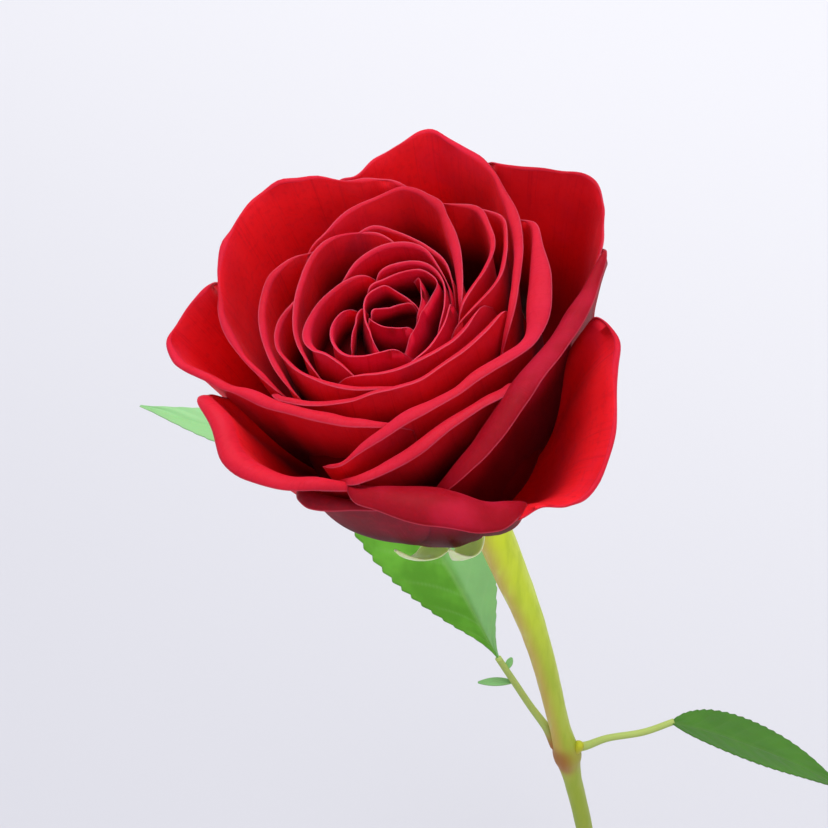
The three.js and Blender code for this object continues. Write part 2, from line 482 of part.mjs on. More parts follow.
function makeWater() {
  const inside = VASE_INSIDE.filter(([, height]) => height < WATER_LEVEL).reverse();
  const shrink = 2 * GAP + 0.3;
  const walls = inside.map(([radius, height], k) => [radius - shrink, height + (k === 0 ? GAP : 0)]);
  const profile = [[0, VASE_FLOOR + GAP], ...walls, [12.9, WATER_LEVEL], [0, WATER_LEVEL]];
  const hole = STEM_ROUTE.slice(0, 4).map(([x, y, z, radius]) => [x, y, z, radius + 2 * GAP]);
  const [x, y, z, radius] = hole[0];
  hole.unshift([x + 2, y - 0.6, z - 10, radius]);
  const solid = toSolid(turned(profile, WATER_SIDES)).subtract(toSolid(rod(hole, 12, STEM_SIDES)));
  const mesh = new THREE.Mesh(toGeometry(solid), surface(0xdfeef0, 0.05));
  mesh.name = "water";
  return mesh;
}

// ---- The whole object ---------------------------------------------------------------------

const group = new THREE.Group();
group.add(
  makeVase(),
  makeWater(),
  makeStem(),
  makeLeaf("leaf_left", LEAFLETS),
  makeLeaf("leaf_right", []),
  makeLeaf("leaf_back", []),
  makeBloom(),
);

export default group;
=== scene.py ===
import math

import bpy
import numpy as np
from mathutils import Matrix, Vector, noise


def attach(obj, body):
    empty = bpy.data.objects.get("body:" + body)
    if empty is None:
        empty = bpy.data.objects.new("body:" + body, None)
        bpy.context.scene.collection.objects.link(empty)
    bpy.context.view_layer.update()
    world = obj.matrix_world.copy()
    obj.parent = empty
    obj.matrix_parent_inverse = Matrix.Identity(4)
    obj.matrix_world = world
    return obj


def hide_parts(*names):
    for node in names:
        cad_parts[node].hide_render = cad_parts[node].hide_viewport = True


# A single red rose in a plain white bud vase. Sizes are in millimetres until a mesh is made.
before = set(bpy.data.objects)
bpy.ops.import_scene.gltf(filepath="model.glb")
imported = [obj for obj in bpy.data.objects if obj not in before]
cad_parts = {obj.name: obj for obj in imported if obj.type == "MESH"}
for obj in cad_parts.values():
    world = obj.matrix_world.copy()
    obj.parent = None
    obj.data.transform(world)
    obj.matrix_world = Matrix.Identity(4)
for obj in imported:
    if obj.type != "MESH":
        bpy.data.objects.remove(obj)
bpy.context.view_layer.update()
MM = 0.001

# ---- Camera: the photograph looks down on the bloom ---------------------------------------

CAMERA_AT = (-65.4, -193.0, 699.4)
CAMERA_ELEVATION = 55.0
PHOTO_WIDTH = 828                       # pixels
FOCAL_PIXELS = 1734
SENSOR = 36.0


def make_camera():
    data = bpy.data.cameras.new("camera")
    data.sensor_width = SENSOR
    data.lens = SENSOR * FOCAL_PIXELS / PHOTO_WIDTH
    data.clip_start = 0.01
    data.clip_end = 20
    camera = bpy.data.objects.new("camera", data)
    camera.location = Vector(CAMERA_AT) * MM
    camera.rotation_euler = (math.radians(90 - CAMERA_ELEVATION), 0, 0)
    bpy.context.scene.collection.objects.link(camera)
    bpy.context.scene.camera = camera


# ---- Forms shared with the solids ---------------------------------------------------------

# Vase: profiles as (radius, height), from the foot up outside and from the mouth down inside.
VASE_HEIGHT = 165
VASE_FLOOR = 6
VASE_OUTSIDE = [
    (29, 2), (33.5, 14), (36, 30), (36, 46), (33.5, 62), (28, 80), (21.5, 97),
    (16.5, 113), (14, 129), (13.4, 144), (14.2, 157), (15.3, VASE_HEIGHT - 1.2),
]
VASE_INSIDE = [
    (12, VASE_HEIGHT - 1), (11, VASE_HEIGHT - 5), (10.4, 144), (11, 130), (13.4, 114), (18.2, 98),
    (24.6, 81), (30, 63), (32.4, 46), (32.4, 30), (30, 15), (24, VASE_FLOOR),
]
WATER_LEVEL = 112

# Stem: [x, y, z, radius] from the cut end on the floor of the vase up to the seat of the bloom.
STEM_ROUTE = [
    (17.5, -5, 6.8, 2.3), (11, -3, 50, 2.35), (2, -1.2, 105, 2.4), (-8, 0.8, 163, 2.45),
    (-15.5, 4.3, 209, 2.5), (-19.6, 6.9, 230, 2.6), (-22.8, 8.8, 247, 3.5), (-25.4, 10, 260, 2.85),
    (-32.2, 11.7, 297, 3.1), (-37.6, 11.9, 322, 3.55), (-41.6, 11.6, 338, 4.0), (-46.5, 11, 358, 4.3),
    (-49.8, 10.6, 370, 4.3), (-53, 10.6, 381, 4.6),
]

# Hip: (radius, height above the seat of the bloom).
HIP = [(3.6, -15), (4.9, -12.5), (6.4, -9.5), (7.2, -6), (7, -3), (6, 0)]
# Sepals: azimuth, and how far out each lies as a share of the run below.
SEPALS = [(257, 1.0), (276, 1.0), (6, 1.15), (80, 1.16), (158, 1.25)]
SEPAL_WIDTH = 6.5
# The run of a sepal from the hip to its tip: (radius, height above the seat).
SEPAL_RUN = [(4.5, -1.6), (11.5, -1.8), (17.8, -0.6), (23.2, 2.4), (27.2, 7), (30.2, 13), (32.3, 19.5)]

CROWN = np.array([-69, 10.3, 442.6])    # the top of the bloom, on its axis
CROWN_HEIGHT = 54                       # of the crown above the seat
LEAN = np.array([-0.139, -0.0587, 0.9886])
LEAN = LEAN / np.linalg.norm(LEAN)
SEAT_SHIFT = np.array([5.7, -2.8, 1])   # how far the seat lies off that axis
PETAL_CLAW = 0.42                       # width of a petal's claw as a share of its full width
WIDE_CLAW = {"bottom_left": 0.6}        # the same, where it is wider
LIP_TURN = 2.0                          # how far a rolled lip turns over, in radians
# How far a petal's belly bulges, as a share of what its radius gives.
FULLNESS = {"under_left": 1.06, "under_front": 1.15, "bottom_front": 0.94, "lower_right": 0.75}
# The old, dark petals that hang under the front.
OLDEST = ["under_left", "under_front"]
# How far down light reaches into the wide open petals, against the rest.
OPENNESS = {
    "lower_right": 6.0, "top": 1.3, "front_lobe": 1.2, "bottom_left": 1.4, "left_outer": 1.4,
    "back_left": 1.2, "right_back": 1.3,
}
# Petals painted a deeper red, and how much deeper: partly their own colour, partly painted shade
# where they face away from the light or lie in the shadow of others.
DEEPER_RED_AND_SHADE = {"bottom_front": 0.8, "right_long": 0.8, "right_back": 0.25}
# Petals that close up towards the end of their first station and are painted darker there as
# shade, and how much.
SHADED_END = {"lower_right": 0.8, "right_back": 0.4}

# Petals from the outside inwards. Each station on the rim is
# (azimuth, radius, lift, lip): azimuth in degrees seen from above (0 right, 90 back, 180 left,
# 270 front), radius and the lift above the bloom's rim surface in mm, width of the rolled lip in mm.
PETALS = {
    "under_left": [[226, 31, -18, 0], [231, 32.5, -10, 1.5], [236, 34, -6, 4], [241, 34, -5.5, 5],
      [249, 33, -6.5, 3.5], [259, 32, -9, 1.5], [270, 31, -12, 0], [280, 29, -18, 0]],
    "under_front": [[240, 26, -18, 0], [254, 28.5, -12, 0], [266, 29.5, -11, 0], [276, 29.5, -13, 0],
      [284, 28, -17, 0], [290, 26, -23, 0]],
    "right_back": [[76, 45, -14, 0], [66, 42.5, -4, 0], [60, 40.5, 0, 0.5], [54, 42, 0, 0.8],
      [46, 46.5, 0, 0.8], [40, 49.5, 0, 1], [33, 47.5, 0, 1], [26, 44, 0, 0.8], [20, 41.2, -0.5, 0.4],
      [14, 37, -3, 0], [8, 33.5, -8, 0], [2, 30, -15, 0]],
    "lower_right": [[364, 34, -10, 0], [361.5, 37, -2.5, 0], [358, 38.8, 0, 0.6], [354, 40.5, 0, 1],
      [346, 41, 0, 1], [336, 43, 0, 1], [326, 45, 0, 1.2], [315, 46.3, 0, 1.2], [310, 45.5, 0, 1],
      [305, 43.2, 0, 0.6], [298, 42.5, -1, 0.5], [292, 38, -7, 0], [287, 33, -14, 0]],
    "bottom_left": [[186, 37, -12, 0], [191, 39, -4, 1], [196, 38.5, -0.3, 3], [206, 36.3, 0, 5],
      [216, 37.3, 0, 6], [227, 36.5, 0, 5], [238, 34.5, 0, 4], [246, 33, -0.5, 3.5], [253, 31.5, -3, 2],
      [260, 30, -7, 1], [268, 28.5, -12, 0]],
    "bottom_front": [[244, 29, -10, 0], [251, 32, -3, 1.5], [256, 33, -0.5, 4], [264, 32.5, 0, 7],
      [276, 33, 0, 10.5], [286, 35, 0, 11], [293, 38, -0.5, 8], [299, 39.5, -2, 4], [304, 38, -8, 1]],
    "top": [[118, 44, -14, 0], [110, 39.5, -5, 0], [104, 36, -1, 0.3], [97, 38.2, 0, 0.6],
      [89, 41.8, 0, 0.8], [82, 45.2, 0, 1], [74, 41.8, 0, 1.2], [63, 38.6, 0, 1.8], [53, 33.8, 0, 2.2],
      [43, 30.2, 0, 2.3], [31, 26.7, 0, 2.3], [18, 23.6, 0, 2.2], [5, 21.7, -0.5, 2], [-10, 20.6, -3, 1],
      [-24, 19, -12, 0]],
    "left_outer": [[150, 43, -12, 0], [157, 41.5, -3, 0], [163, 41.3, 0, 0.6], [170, 45, 0, 1],
      [175, 46.3, 0, 1.2], [182, 43, 0, 2.5], [190, 37, 0, 3.5], [201, 31, 0, 4], [212, 27.5, 0, 4],
      [224, 25, 0, 3.5], [238, 23, 0, 3.5], [252, 22.2, 0, 3], [265, 22, -1, 1.5], [276, 21, -6, 0]],
    "back_left": [[74, 30, -14, 0], [82, 30.5, -4, 0], [89, 31, 0, 0.3], [97, 33.3, 0, 0.5],
      [105, 34.5, 0, 0.6], [118, 40.3, 0, 0.8], [129, 43.8, 0, 1], [141, 42.8, 0, 1], [154, 39.5, 0, 1.2],
      [166, 36, 0, 1.6], [176, 32.8, 0, 1.9], [189, 29.6, 0, 1.8], [200, 27, -1.5, 1], [210, 24.6, -6, 0],
      [216, 23.4, -11, 0]],
    "right_long": [[31, 45.5, -16, 0], [25, 43.5, -5, 0], [19.5, 41.6, 0, 1.5], [12, 37, 0, 4],
      [2, 33, 0, 5], [-10, 29.5, 0, 6], [-24, 27, 0, 6], [-38, 26, 0, 7], [-54, 27, -1, 7],
      [-70, 29.5, -3, 5], [-82, 31, -8, 2]],
    "front_low": [[244, 31, -6, 0], [256, 31, 0, 3], [266, 28.3, 0, 4], [279, 25.6, 0, 4.5],
      [292, 24, 0, 3.4], [306, 23.8, 0, 3], [317, 24.8, 0, 3], [323, 25.4, -0.5, 1.5], [329, 25, -5, 0]],
    "front_lobe": [[236, 29, -8, 0], [248, 30, 0, 1], [256, 26, 0, 3], [270, 21.8, 0, 4.5],
      [288, 20, 0, 3.5], [306, 20, 0, 3], [321, 20.3, 0, 4], [334, 22.5, 0, 4], [346, 24.8, 0, 4],
      [358, 24.8, 0, 6], [372, 26, 0, 5.5], [385, 29, 0, 3], [396, 32.3, 0, 1.5], [404, 32.8, -2, 0],
      [412, 33.5, -9, 0]],
    "right_mid_outer": [[72, 31.5, -10, 0], [64, 29, -3, 0], [57, 28, 0, 0.5], [46, 29.2, 0, 0.8],
      [36, 26, 0, 1], [27, 23, 0, 1.2], [17, 20.3, 0, 1.2], [4, 16.5, 0, 1], [-8, 14.2, 0, 0.8],
      [-24, 12.4, -1, 0.3], [-40, 12, -5, 0]],
    "right_mid": [[82, 31.5, -10, 0], [75, 29, -3, 0], [68, 26.9, 0, 0.5], [55, 27.8, 0, 1],
      [46, 25.4, 0, 1.5], [36, 22.6, 0, 1.8], [24, 18.3, 0, 1.6], [11, 14.6, 0, 1.2], [-4, 12.7, 0, 0.5],
      [-18, 12, -4, 0]],
    "back_mid": [[152, 24.5, -9, 0], [143, 23.4, -3, 0], [136, 23.4, 0, 0.5], [124, 24.2, 0, 0.8],
      [110, 26.8, 0, 0.8], [97, 28.3, 0, 0.8], [86, 29.5, 0, 1], [77, 27, 0, 1.5], [70, 24.6, 0, 2.4],
      [63, 20.9, 0, 3], [54, 17.8, 0, 3.2], [42, 15.3, 0, 2.8], [25, 13.2, 0, 2], [3, 12.3, 0, 1],
      [-12, 12.4, -4, 0]],
    "left_mid_outer": [[122, 23.4, -9, 0], [130, 22.8, -2, 0], [137, 23.2, 0, 0.4], [144, 25.2, 0, 1],
      [156, 26.4, 0, 1.5], [170, 26, 0, 1.6], [184, 25, 0, 1.3], [200, 24.2, -1, 1], [218, 23.4, -3, 0],
      [232, 22, -8, 0]],
    "left_mid": [[150, 23, -8, 0], [160, 20.8, -2, 0], [168, 19.6, 0, 0.4], [179, 22, 0, 1],
      [190, 22.8, 0, 1.2], [203, 21.6, 0, 1], [221, 19.4, 0, 1], [239, 17.8, 0, 1.3],
      [260, 16.2, -0.5, 1.2], [278, 15.6, -2, 0.5], [292, 15.6, -5, 0]],
    "left_inner": [[80, 14.8, -6, 0], [88, 14.8, -1, 0], [98, 17, 0, 0.6], [110, 19.8, 0, 0.6],
      [124, 21.8, 0, 1], [139, 21.2, 0, 1], [156, 19.6, 0, 1], [176, 18.9, 0, 1], [195, 18.8, 0, 1],
      [213, 18.6, -1.5, 0.3], [226, 18, -6, 0]],
    "front_inner": [[205, 26.5, -4, 1], [214, 26, -0.3, 1.5], [224, 23.6, 0, 1.8], [236, 20.8, 0, 1.8],
      [247, 19, 0, 1.4], [258, 17.3, 0, 1], [270, 16.5, 0, 1], [286, 16, 0, 1], [303, 15.4, 0, 1],
      [322, 15.9, 0, 1.2], [340, 17.6, 0, 1], [355, 20, 0, 0.5], [362, 21, -3, 0], [368, 21.5, -8, 0]],
    "back_inner": [[124, 23, -8, 0], [117, 21.5, -2, 0], [110, 19.9, 0, 0.4], [102, 19.9, 0, 0.8],
      [90, 17.5, 0, 0.8], [75, 15.3, 0, 0.8], [62, 14, 0, 0.8], [43, 13.2, 0, 0.5], [25, 12.2, -0.5, 0],
      [8, 11.3, -5, 0]],
    "front_ring": [[226, 16.5, -5, 0], [236, 16, -1, 0], [246, 14.9, 0, 0.6], [258, 14, 0, 0.8],
      [274, 13.1, 0, 1], [292, 12.5, 0, 1.1], [309, 12.7, 0, 1], [323, 13.4, 0, 1], [338, 14.2, 0, 1],
      [350, 15.2, 0, 0.5], [360, 16.6, -1, 0], [370, 18.5, -6, 0]],
    "right_ring": [[268, 13.4, -5, 0], [277, 12.9, -1, 0], [288, 12.3, 0, 0.3], [305, 11.4, 0, 0.4],
      [319, 10.7, 0, 0.4], [340, 10.3, 0, 0.4], [358, 10.6, 0, 0.3], [370, 11, -4, 0]],
    "left_lobe": [[108, 9.6, -6, 0], [116, 9.2, -2, 0], [126, 9.4, 0, 0.4], [144, 10.8, 0, 1],
      [160, 12.3, 0, 1.2], [180, 14.8, 0, 1.6], [196, 16.8, 0, 1.6], [206, 16.6, 0, 1],
      [214, 15.4, 0, 0.6], [226, 14.6, -0.5, 0.6], [238, 14.8, -2, 0.3], [250, 15, -6, 0]],
    "ring_outer": [[160, 14, -6, 0], [150, 12.6, -1.5, 0], [141, 11.7, 0, 0.4], [118, 12.7, 0, 1],
      [92, 13.7, 0, 1], [68, 13.6, 0, 1], [46, 11.8, 0, 0.6], [16, 10.9, -1, 0], [0, 10.5, -4, 0]],
    "left_cup": [[158, 7.4, -6, 0], [168, 7.9, -2, 0], [179, 9.3, 0, 0.4], [194, 11.6, 0, 0.8],
      [210, 13, 0, 0.8], [226, 12.9, 0, 0.8], [240, 11.5, 0, 0.6], [254, 9.9, 0, 0.4],
      [270, 8.8, -0.5, 0.3], [282, 9, -2.5, 0], [292, 9, -6, 0]],
    "left_fold": [[160, 5.9, -4, 0], [171, 6.2, -0.5, 0], [186, 7, 0, 0.2], [202, 7.8, 0, 0.3],
      [216, 9.8, -0.5, 0.3], [226, 11.6, -2, 0], [234, 12, -5, 0]],
    "ring_back": [[130, 7.4, -6, 0], [120, 7.7, -2, 0], [109, 8.3, 0, 0.4], [84, 9.4, 0, 0.8],
      [56, 10.6, 0, 0.8], [30, 10.5, 0, 0.4], [4, 9.6, 0, 0.3], [-24, 9.6, 0, 0.2], [-42, 10, -3, 0]],
    "ring_inner": [[150, 7.2, -6, 0], [142, 7, -2, 0], [132, 6.9, 0, 0.3], [107, 6.9, 0, 0.4],
      [92, 7.3, 0, 0.5], [72, 8.3, 0, 0.6], [58, 9.3, 0, 0.5], [46, 9.7, 0, 0.3], [30, 9.5, 0, 0.2],
      [16, 7.3, 0, 0], [-9, 5.2, 0, 0], [-30, 5.3, 0, 0], [-47, 5.9, 0, 0], [-66, 7, -0.5, 0],
      [-80, 9, -2.5, 0]],
    "ring_left": [[-12, 4.9, -3, 0], [5, 4.4, -0.3, 0], [36, 3.7, 0, 0.2], [69, 3.9, 0, 0.2],
      [90, 4.6, 0, 0.2], [107, 5.7, 0.2, 0.2], [126, 6, 0, 0.4], [146, 6.2, 0, 0.4], [163, 5.9, 0, 0.4],
      [180, 5.6, 0, 0.4], [200, 5.7, 0, 0.4], [222, 6.2, 0, 0.4], [238, 7.6, -0.3, 0.2],
      [254, 9.4, -1.5, 0], [264, 10, -5, 0]],
    "bud_right": [[66, 8.4, -3, 0], [54, 8.1, -0.3, 0], [38, 6.4, 0, 0.2], [20, 5.4, 0, 0.2],
      [3, 4.7, 0, 0.1], [-14, 4.3, -0.3, 0], [-30, 4.3, -2, 0]],
    "bud_back": [[204, 4.9, -3, 0], [192, 4.6, -0.5, 0], [171, 4.1, 0, 0.3], [156, 3, 0, 0.3],
      [125, 2, 0, 0.3], [90, 2, 0, 0.3], [59, 2.5, 0, 0.2], [21, 3.8, -0.3, 0], [8, 4.2, -2.5, 0]],
    "bud_front": [[190, 5, -0.5, 0], [199, 4.8, 0, 0.2], [215, 4.1, 0, 0.3], [238, 3.5, 0, 0.3],
      [260, 3.2, 0, 0.3], [290, 3.9, 0, 0.3], [306, 4.6, -0.3, 0], [318, 4.8, -2.5, 0]],
}

# Stalks run from the stem (root, petiole) to the blade: (x, y, z, radius). side is the way in which
# the blade's right half points, fold the angle of its halves to it. The other numbers are shares of
# colours: a pale green for the left and right half, which on the left leaf's right half is painted
# sheen, a painted shade, and rust.
LEAVES = {
    "leaf_left": {
        "root": (-25.4, 9.6, 249.5, 2.2),
        "petiole": [(-28.9, 11.2, 257, 1.2), (-33.4, 14.6, 263, 1), (-37.4, 17.6, 269.5, 0.95),
                    (-42.7, 21.5, 278.3, 0.9)],
        "midrib": [(-42.3, 21.2, 277.6), (-50, 31, 288.5), (-59, 42.5, 298.5), (-72, 56.5, 306.5),
                   (-86, 71, 309.5), (-97, 82.5, 306.5)],
        "half_width": 16, "widest": 0.5, "taper": 1.7, "side": (0.86, 0.5, 0.13), "fold": 0.3,
        "teeth": 26, "pale": (0, 0.6), "shade": 0, "rust": 1,
    },
    "leaf_right": {
        "root": (-20.6, 9.2, 247.8, 1.7),
        "petiole": [(-17.3, 9.5, 248.2, 1.2), (-11.8, 10.4, 251, 1), (-1.5, 11, 254, 0.95),
                    (6.6, 12.6, 257.4, 0.9)],
        "midrib": [(6, 12.5, 257.2), (17, 10.3, 255.6), (29, 7, 253), (41, 3.2, 249.8), (53, -1.8, 246)],
        "half_width": 12, "widest": 0.45, "taper": 0.9, "side": (-0.12, -0.79, 0.6), "fold": 0.12,
        "teeth": 22, "pale": (0, 0), "shade": 0.7, "rust": 0.2,
    },
    "leaf_back": {
        "root": (-49.4, 11.4, 364.6, 1.6),
        "petiole": [(-52.6, 12.9, 363.2, 1.1), (-58, 20, 361.5, 0.95), (-68, 28.5, 357.5, 0.9),
                    (-78, 35.5, 352.5, 0.85)],
        "midrib": [(-77.4, 35, 352.8), (-90, 42, 348), (-104, 49.5, 342.8), (-119, 57.5, 337.4),
                   (-136.5, 67, 332)],
        "half_width": 6.5, "widest": 0.45, "taper": 1.2, "side": (0.3, 0.75, -0.05), "fold": 0.3,
        "teeth": 16, "pale": (0.85, 1), "shade": 0, "rust": 0,
    },
}
# The tiny leaflets on the stalk of the left leaf.
LEAFLETS = [
    {"foot": (-38, 18.2, 270.6), "tip": (-48, 18.4, 269.8), "half_width": 1.1},
    {"foot": (-40.4, 19.8, 274.6), "tip": (-38.9, 22.6, 276.4), "half_width": 0.8},
]


# ---- Curves and meshes --------------------------------------------------------------------

def spline(stations, t):
    """Smooth curve through the stations (rows of numbers), at t from 0 (first) to 1 (last)."""
    points = np.asarray(stations, float)
    if points.ndim == 1:
        points = points[:, None]
    last = len(points) - 1
    place = np.atleast_1d(t) * last
    k = np.clip(place.astype(int), 0, last - 1)
    w = (place - k)[:, None]
    ends = np.vstack([2 * points[0] - points[1], points, 2 * points[-1] - points[-2]])
    p0, p1, p2, p3 = ends[k], ends[k + 1], ends[k + 2], ends[k + 3]

    def knot(a, b):
        return np.sum((a - b) ** 2, axis=1, keepdims=True) ** 0.25

    d0, d1, d2 = knot(p0, p1), knot(p1, p2), knot(p2, p3)
    d1 = np.where(d1 < 1e-4, 1.0, d1)
    d0 = np.where(d0 < 1e-4, d1, d0)
    d2 = np.where(d2 < 1e-4, d1, d2)
    m1 = ((p1 - p0) / d0 - (p2 - p0) / (d0 + d1) + (p2 - p1) / d1) * d1
    m2 = ((p2 - p1) / d1 - (p3 - p1) / (d1 + d2) + (p3 - p2) / d2) * d1
    return (p1 * (2 * w ** 3 - 3 * w ** 2 + 1) + m1 * (w ** 3 - 2 * w ** 2 + w)
            + p2 * (3 * w ** 2 - 2 * w ** 3) + m2 * (w ** 3 - w ** 2))


def unit(v):
    return v / np.maximum(np.linalg.norm(v, axis=-1, keepdims=True), 1e-12)


def smooth(t):
    t = np.clip(t, 0, 1)
    return t * t * (3 - 2 * t)


def grid_normals(grid):
    """Unit normals of a grid of points, shape (rows, columns, 3)."""
    return unit(np.cross(np.gradient(grid, axis=1), np.gradient(grid, axis=0)))


def grid_faces(rows, columns, start, closed=False):
    """Quads of a grid of points. A closed grid joins its last column to its first."""
    j, i = np.mgrid[0:rows - 1, 0:columns if closed else columns - 1]
    after = (i + 1) % columns
    quads = [j * columns + i, j * columns + after, (j + 1) * columns + after, (j + 1) * columns + i]
    return start + np.stack(quads, -1).reshape(-1, 4)


def ring_directions(centres, angle):
    """Unit vectors around a curve, square to it. Angle 0 points to the right."""
    tangent = unit(np.gradient(centres, axis=0))
    across = unit(np.array([1.0, 0, 0]) - tangent * tangent[:, :1])
    other = np.cross(tangent, across)
    return across[:, None] * np.cos(angle)[:, None] + other[:, None] * np.sin(angle)[:, None]


class Pile:
    """Collects points, faces and the numbers that materials read, for one object."""

    def __init__(self, *names):
        self.points = []
        self.faces = []
        self.count = 0
        self.values = {name: [] for name in names}

    def add(self, points, faces, **values):
        """Adds a mesh. A value is one number or an array that spreads over the points; else it is 0."""
        flat = points.reshape(-1, 3)
        self.points.append(flat)
        self.faces.append(faces + self.count)
        for name, held in self.values.items():
            held.append(np.broadcast_to(values.get(name, 0.0), points.shape[:-1]).reshape(-1))
        self.count += len(flat)

    def add_sheet(self, grid, half, **values):
        """A closed thin shell around the grid, half thick each way. side is 0 above, 1 below."""
        rows, columns = grid.shape[:2]
        step = grid_normals(grid) * np.broadcast_to(half, grid.shape[:2])[..., None]
        size = rows * columns
        upper = grid_faces(rows, columns, 0)
        lower = grid_faces(rows, columns, size)[:, ::-1]
        index = np.arange(size).reshape(rows, columns)
        rim = np.concatenate([index[0, :-1], index[:-1, -1], index[-1, :0:-1], index[:0:-1, 0]])
        after = np.roll(rim, -1)
        edge = np.stack([after, rim, rim + size, after + size], -1)
        both = np.stack([grid + step, grid - step])
        doubled = {name: np.broadcast_to(value, both.shape[:-1]) for name, value in values.items()}
        doubled["side"] = np.broadcast_to(np.array([0.0, 1.0])[:, None, None], both.shape[:-1])
        self.add(both, np.concatenate([upper, lower, edge]), **doubled)

    def add_tube(self, centres, radii, sides, **values):
        """A round rod with closed ends. Radii and values hold a row for each centre."""
        start = self.count
        angle = np.linspace(0, 2 * math.pi, sides, endpoint=False)
        points = centres[:, None] + ring_directions(centres, angle) * radii[..., None]
        self.add(points, grid_faces(len(centres), sides, 0, closed=True), **values)
        for row, way in ((0, 1), (len(centres) - 1, -1)):
            cap = np.arange(sides) + row * sides + start
            self.faces.append([tuple(cap[::-way])])

    def make(self, name, material, replaces):
        """Turns what was collected into an object that rides on the root, and hides the CAD nodes that it
        replaces.
        """
        mesh = bpy.data.meshes.new(name)
        faces = [tuple(int(k) for k in face) for block in self.faces for face in block]
        mesh.from_pydata((np.concatenate(self.points) * MM).tolist(), [], faces)
        for key, held in self.values.items():
            numbers = np.concatenate(held).astype("f")
            mesh.attributes.new(key, "FLOAT", "POINT").data.foreach_set("value", numbers)
        mesh.materials.append(material)
        mesh.shade_smooth()
        mesh.validate()
        piece = bpy.data.objects.new(name, mesh)
        bpy.context.scene.collection.objects.link(piece)
        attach(piece, "root")
        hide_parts(*replaces)
        return piece


def wander(points, size, seed):
    """Slow smooth noise from -1 to 1 at each point, for shapes that are never quite regular."""
    flat = points.reshape(-1, 3) / size + seed * 17.3
    return np.array([noise.noise(Vector(p)) for p in flat]).reshape(points.shape[:-1])


# ---- Frame of the bloom -------------------------------------------------------------------

RIGHT = unit(np.array([1.0, 0, 0]) - LEAN * LEAN[0])
BACK = np.cross(LEAN, RIGHT)


def bloom_point(radius, azimuth, height):
    """A point at this radius and azimuth around the bloom's axis, at this height above its seat."""
    radius, azimuth, height = np.broadcast_arrays(radius, azimuth, height)
    angle = np.radians(azimuth)
    below = np.maximum(0, 1 - height / CROWN_HEIGHT) ** 2
    return (CROWN + LEAN * (height - CROWN_HEIGHT)[..., None] + SEAT_SHIFT * below[..., None]
            + RIGHT * (radius * np.cos(angle))[..., None] + BACK * (radius * np.sin(angle))[..., None])


BLOOM_REACH = 42                        # radius at which the rim has dropped by the full amount
DROP_AT_BACK = 1.5
DROP_AT_FRONT = 15
SHOULDER = 2                            # how far the rim rises around the heart, and dips at its eye


def rim_height(radius, azimuth):
    """Height of the surface that the petals' rims reach, above the seat."""
    front = 0.5 - 0.5 * np.sin(np.radians(azimuth))
    drop = (radius / BLOOM_REACH) ** 2 * (DROP_AT_BACK + (DROP_AT_FRONT - DROP_AT_BACK) * front)
    shoulder = SHOULDER * np.exp(-((radius - 13) / 9) ** 2)
    eye = SHOULDER * np.exp(-(radius / 4) ** 2)
    return CROWN_HEIGHT + shoulder - eye - drop


# ---- Petals -------------------------------------------------------------------------------

PETAL_HALF_THICKNESS = 0.13
PETAL_ROWS = 26                         # from claw to crest
LIP_ROWS = 10
COLUMNS_PER_STATION = 7
SEAT_RADIUS = 5                         # where the claws stand
BELLY_BASE = 7.5                        # a petal's belly bulges to this, plus a share of its radius
BELLY_SHARE = 0.68
THINNEST_LIP = 0.05
# Uneven growth: how far it goes, and the length over which it changes.
PETAL_RIPPLE, RIPPLE_LENGTH = 0.6, 11   # a petal's whole sheet
PETAL_FOLD, FOLD_LENGTH = 0.55, 6       # the soft folds that run down the outer petals
RIM_WAVE, WAVE_LENGTH = 0.5, 5          # the rim, up and down
# Light ends at this depth below the rim, plus a share of the petal's radius.
DARK_BASE = 5
DARK_SHARE = 0.42


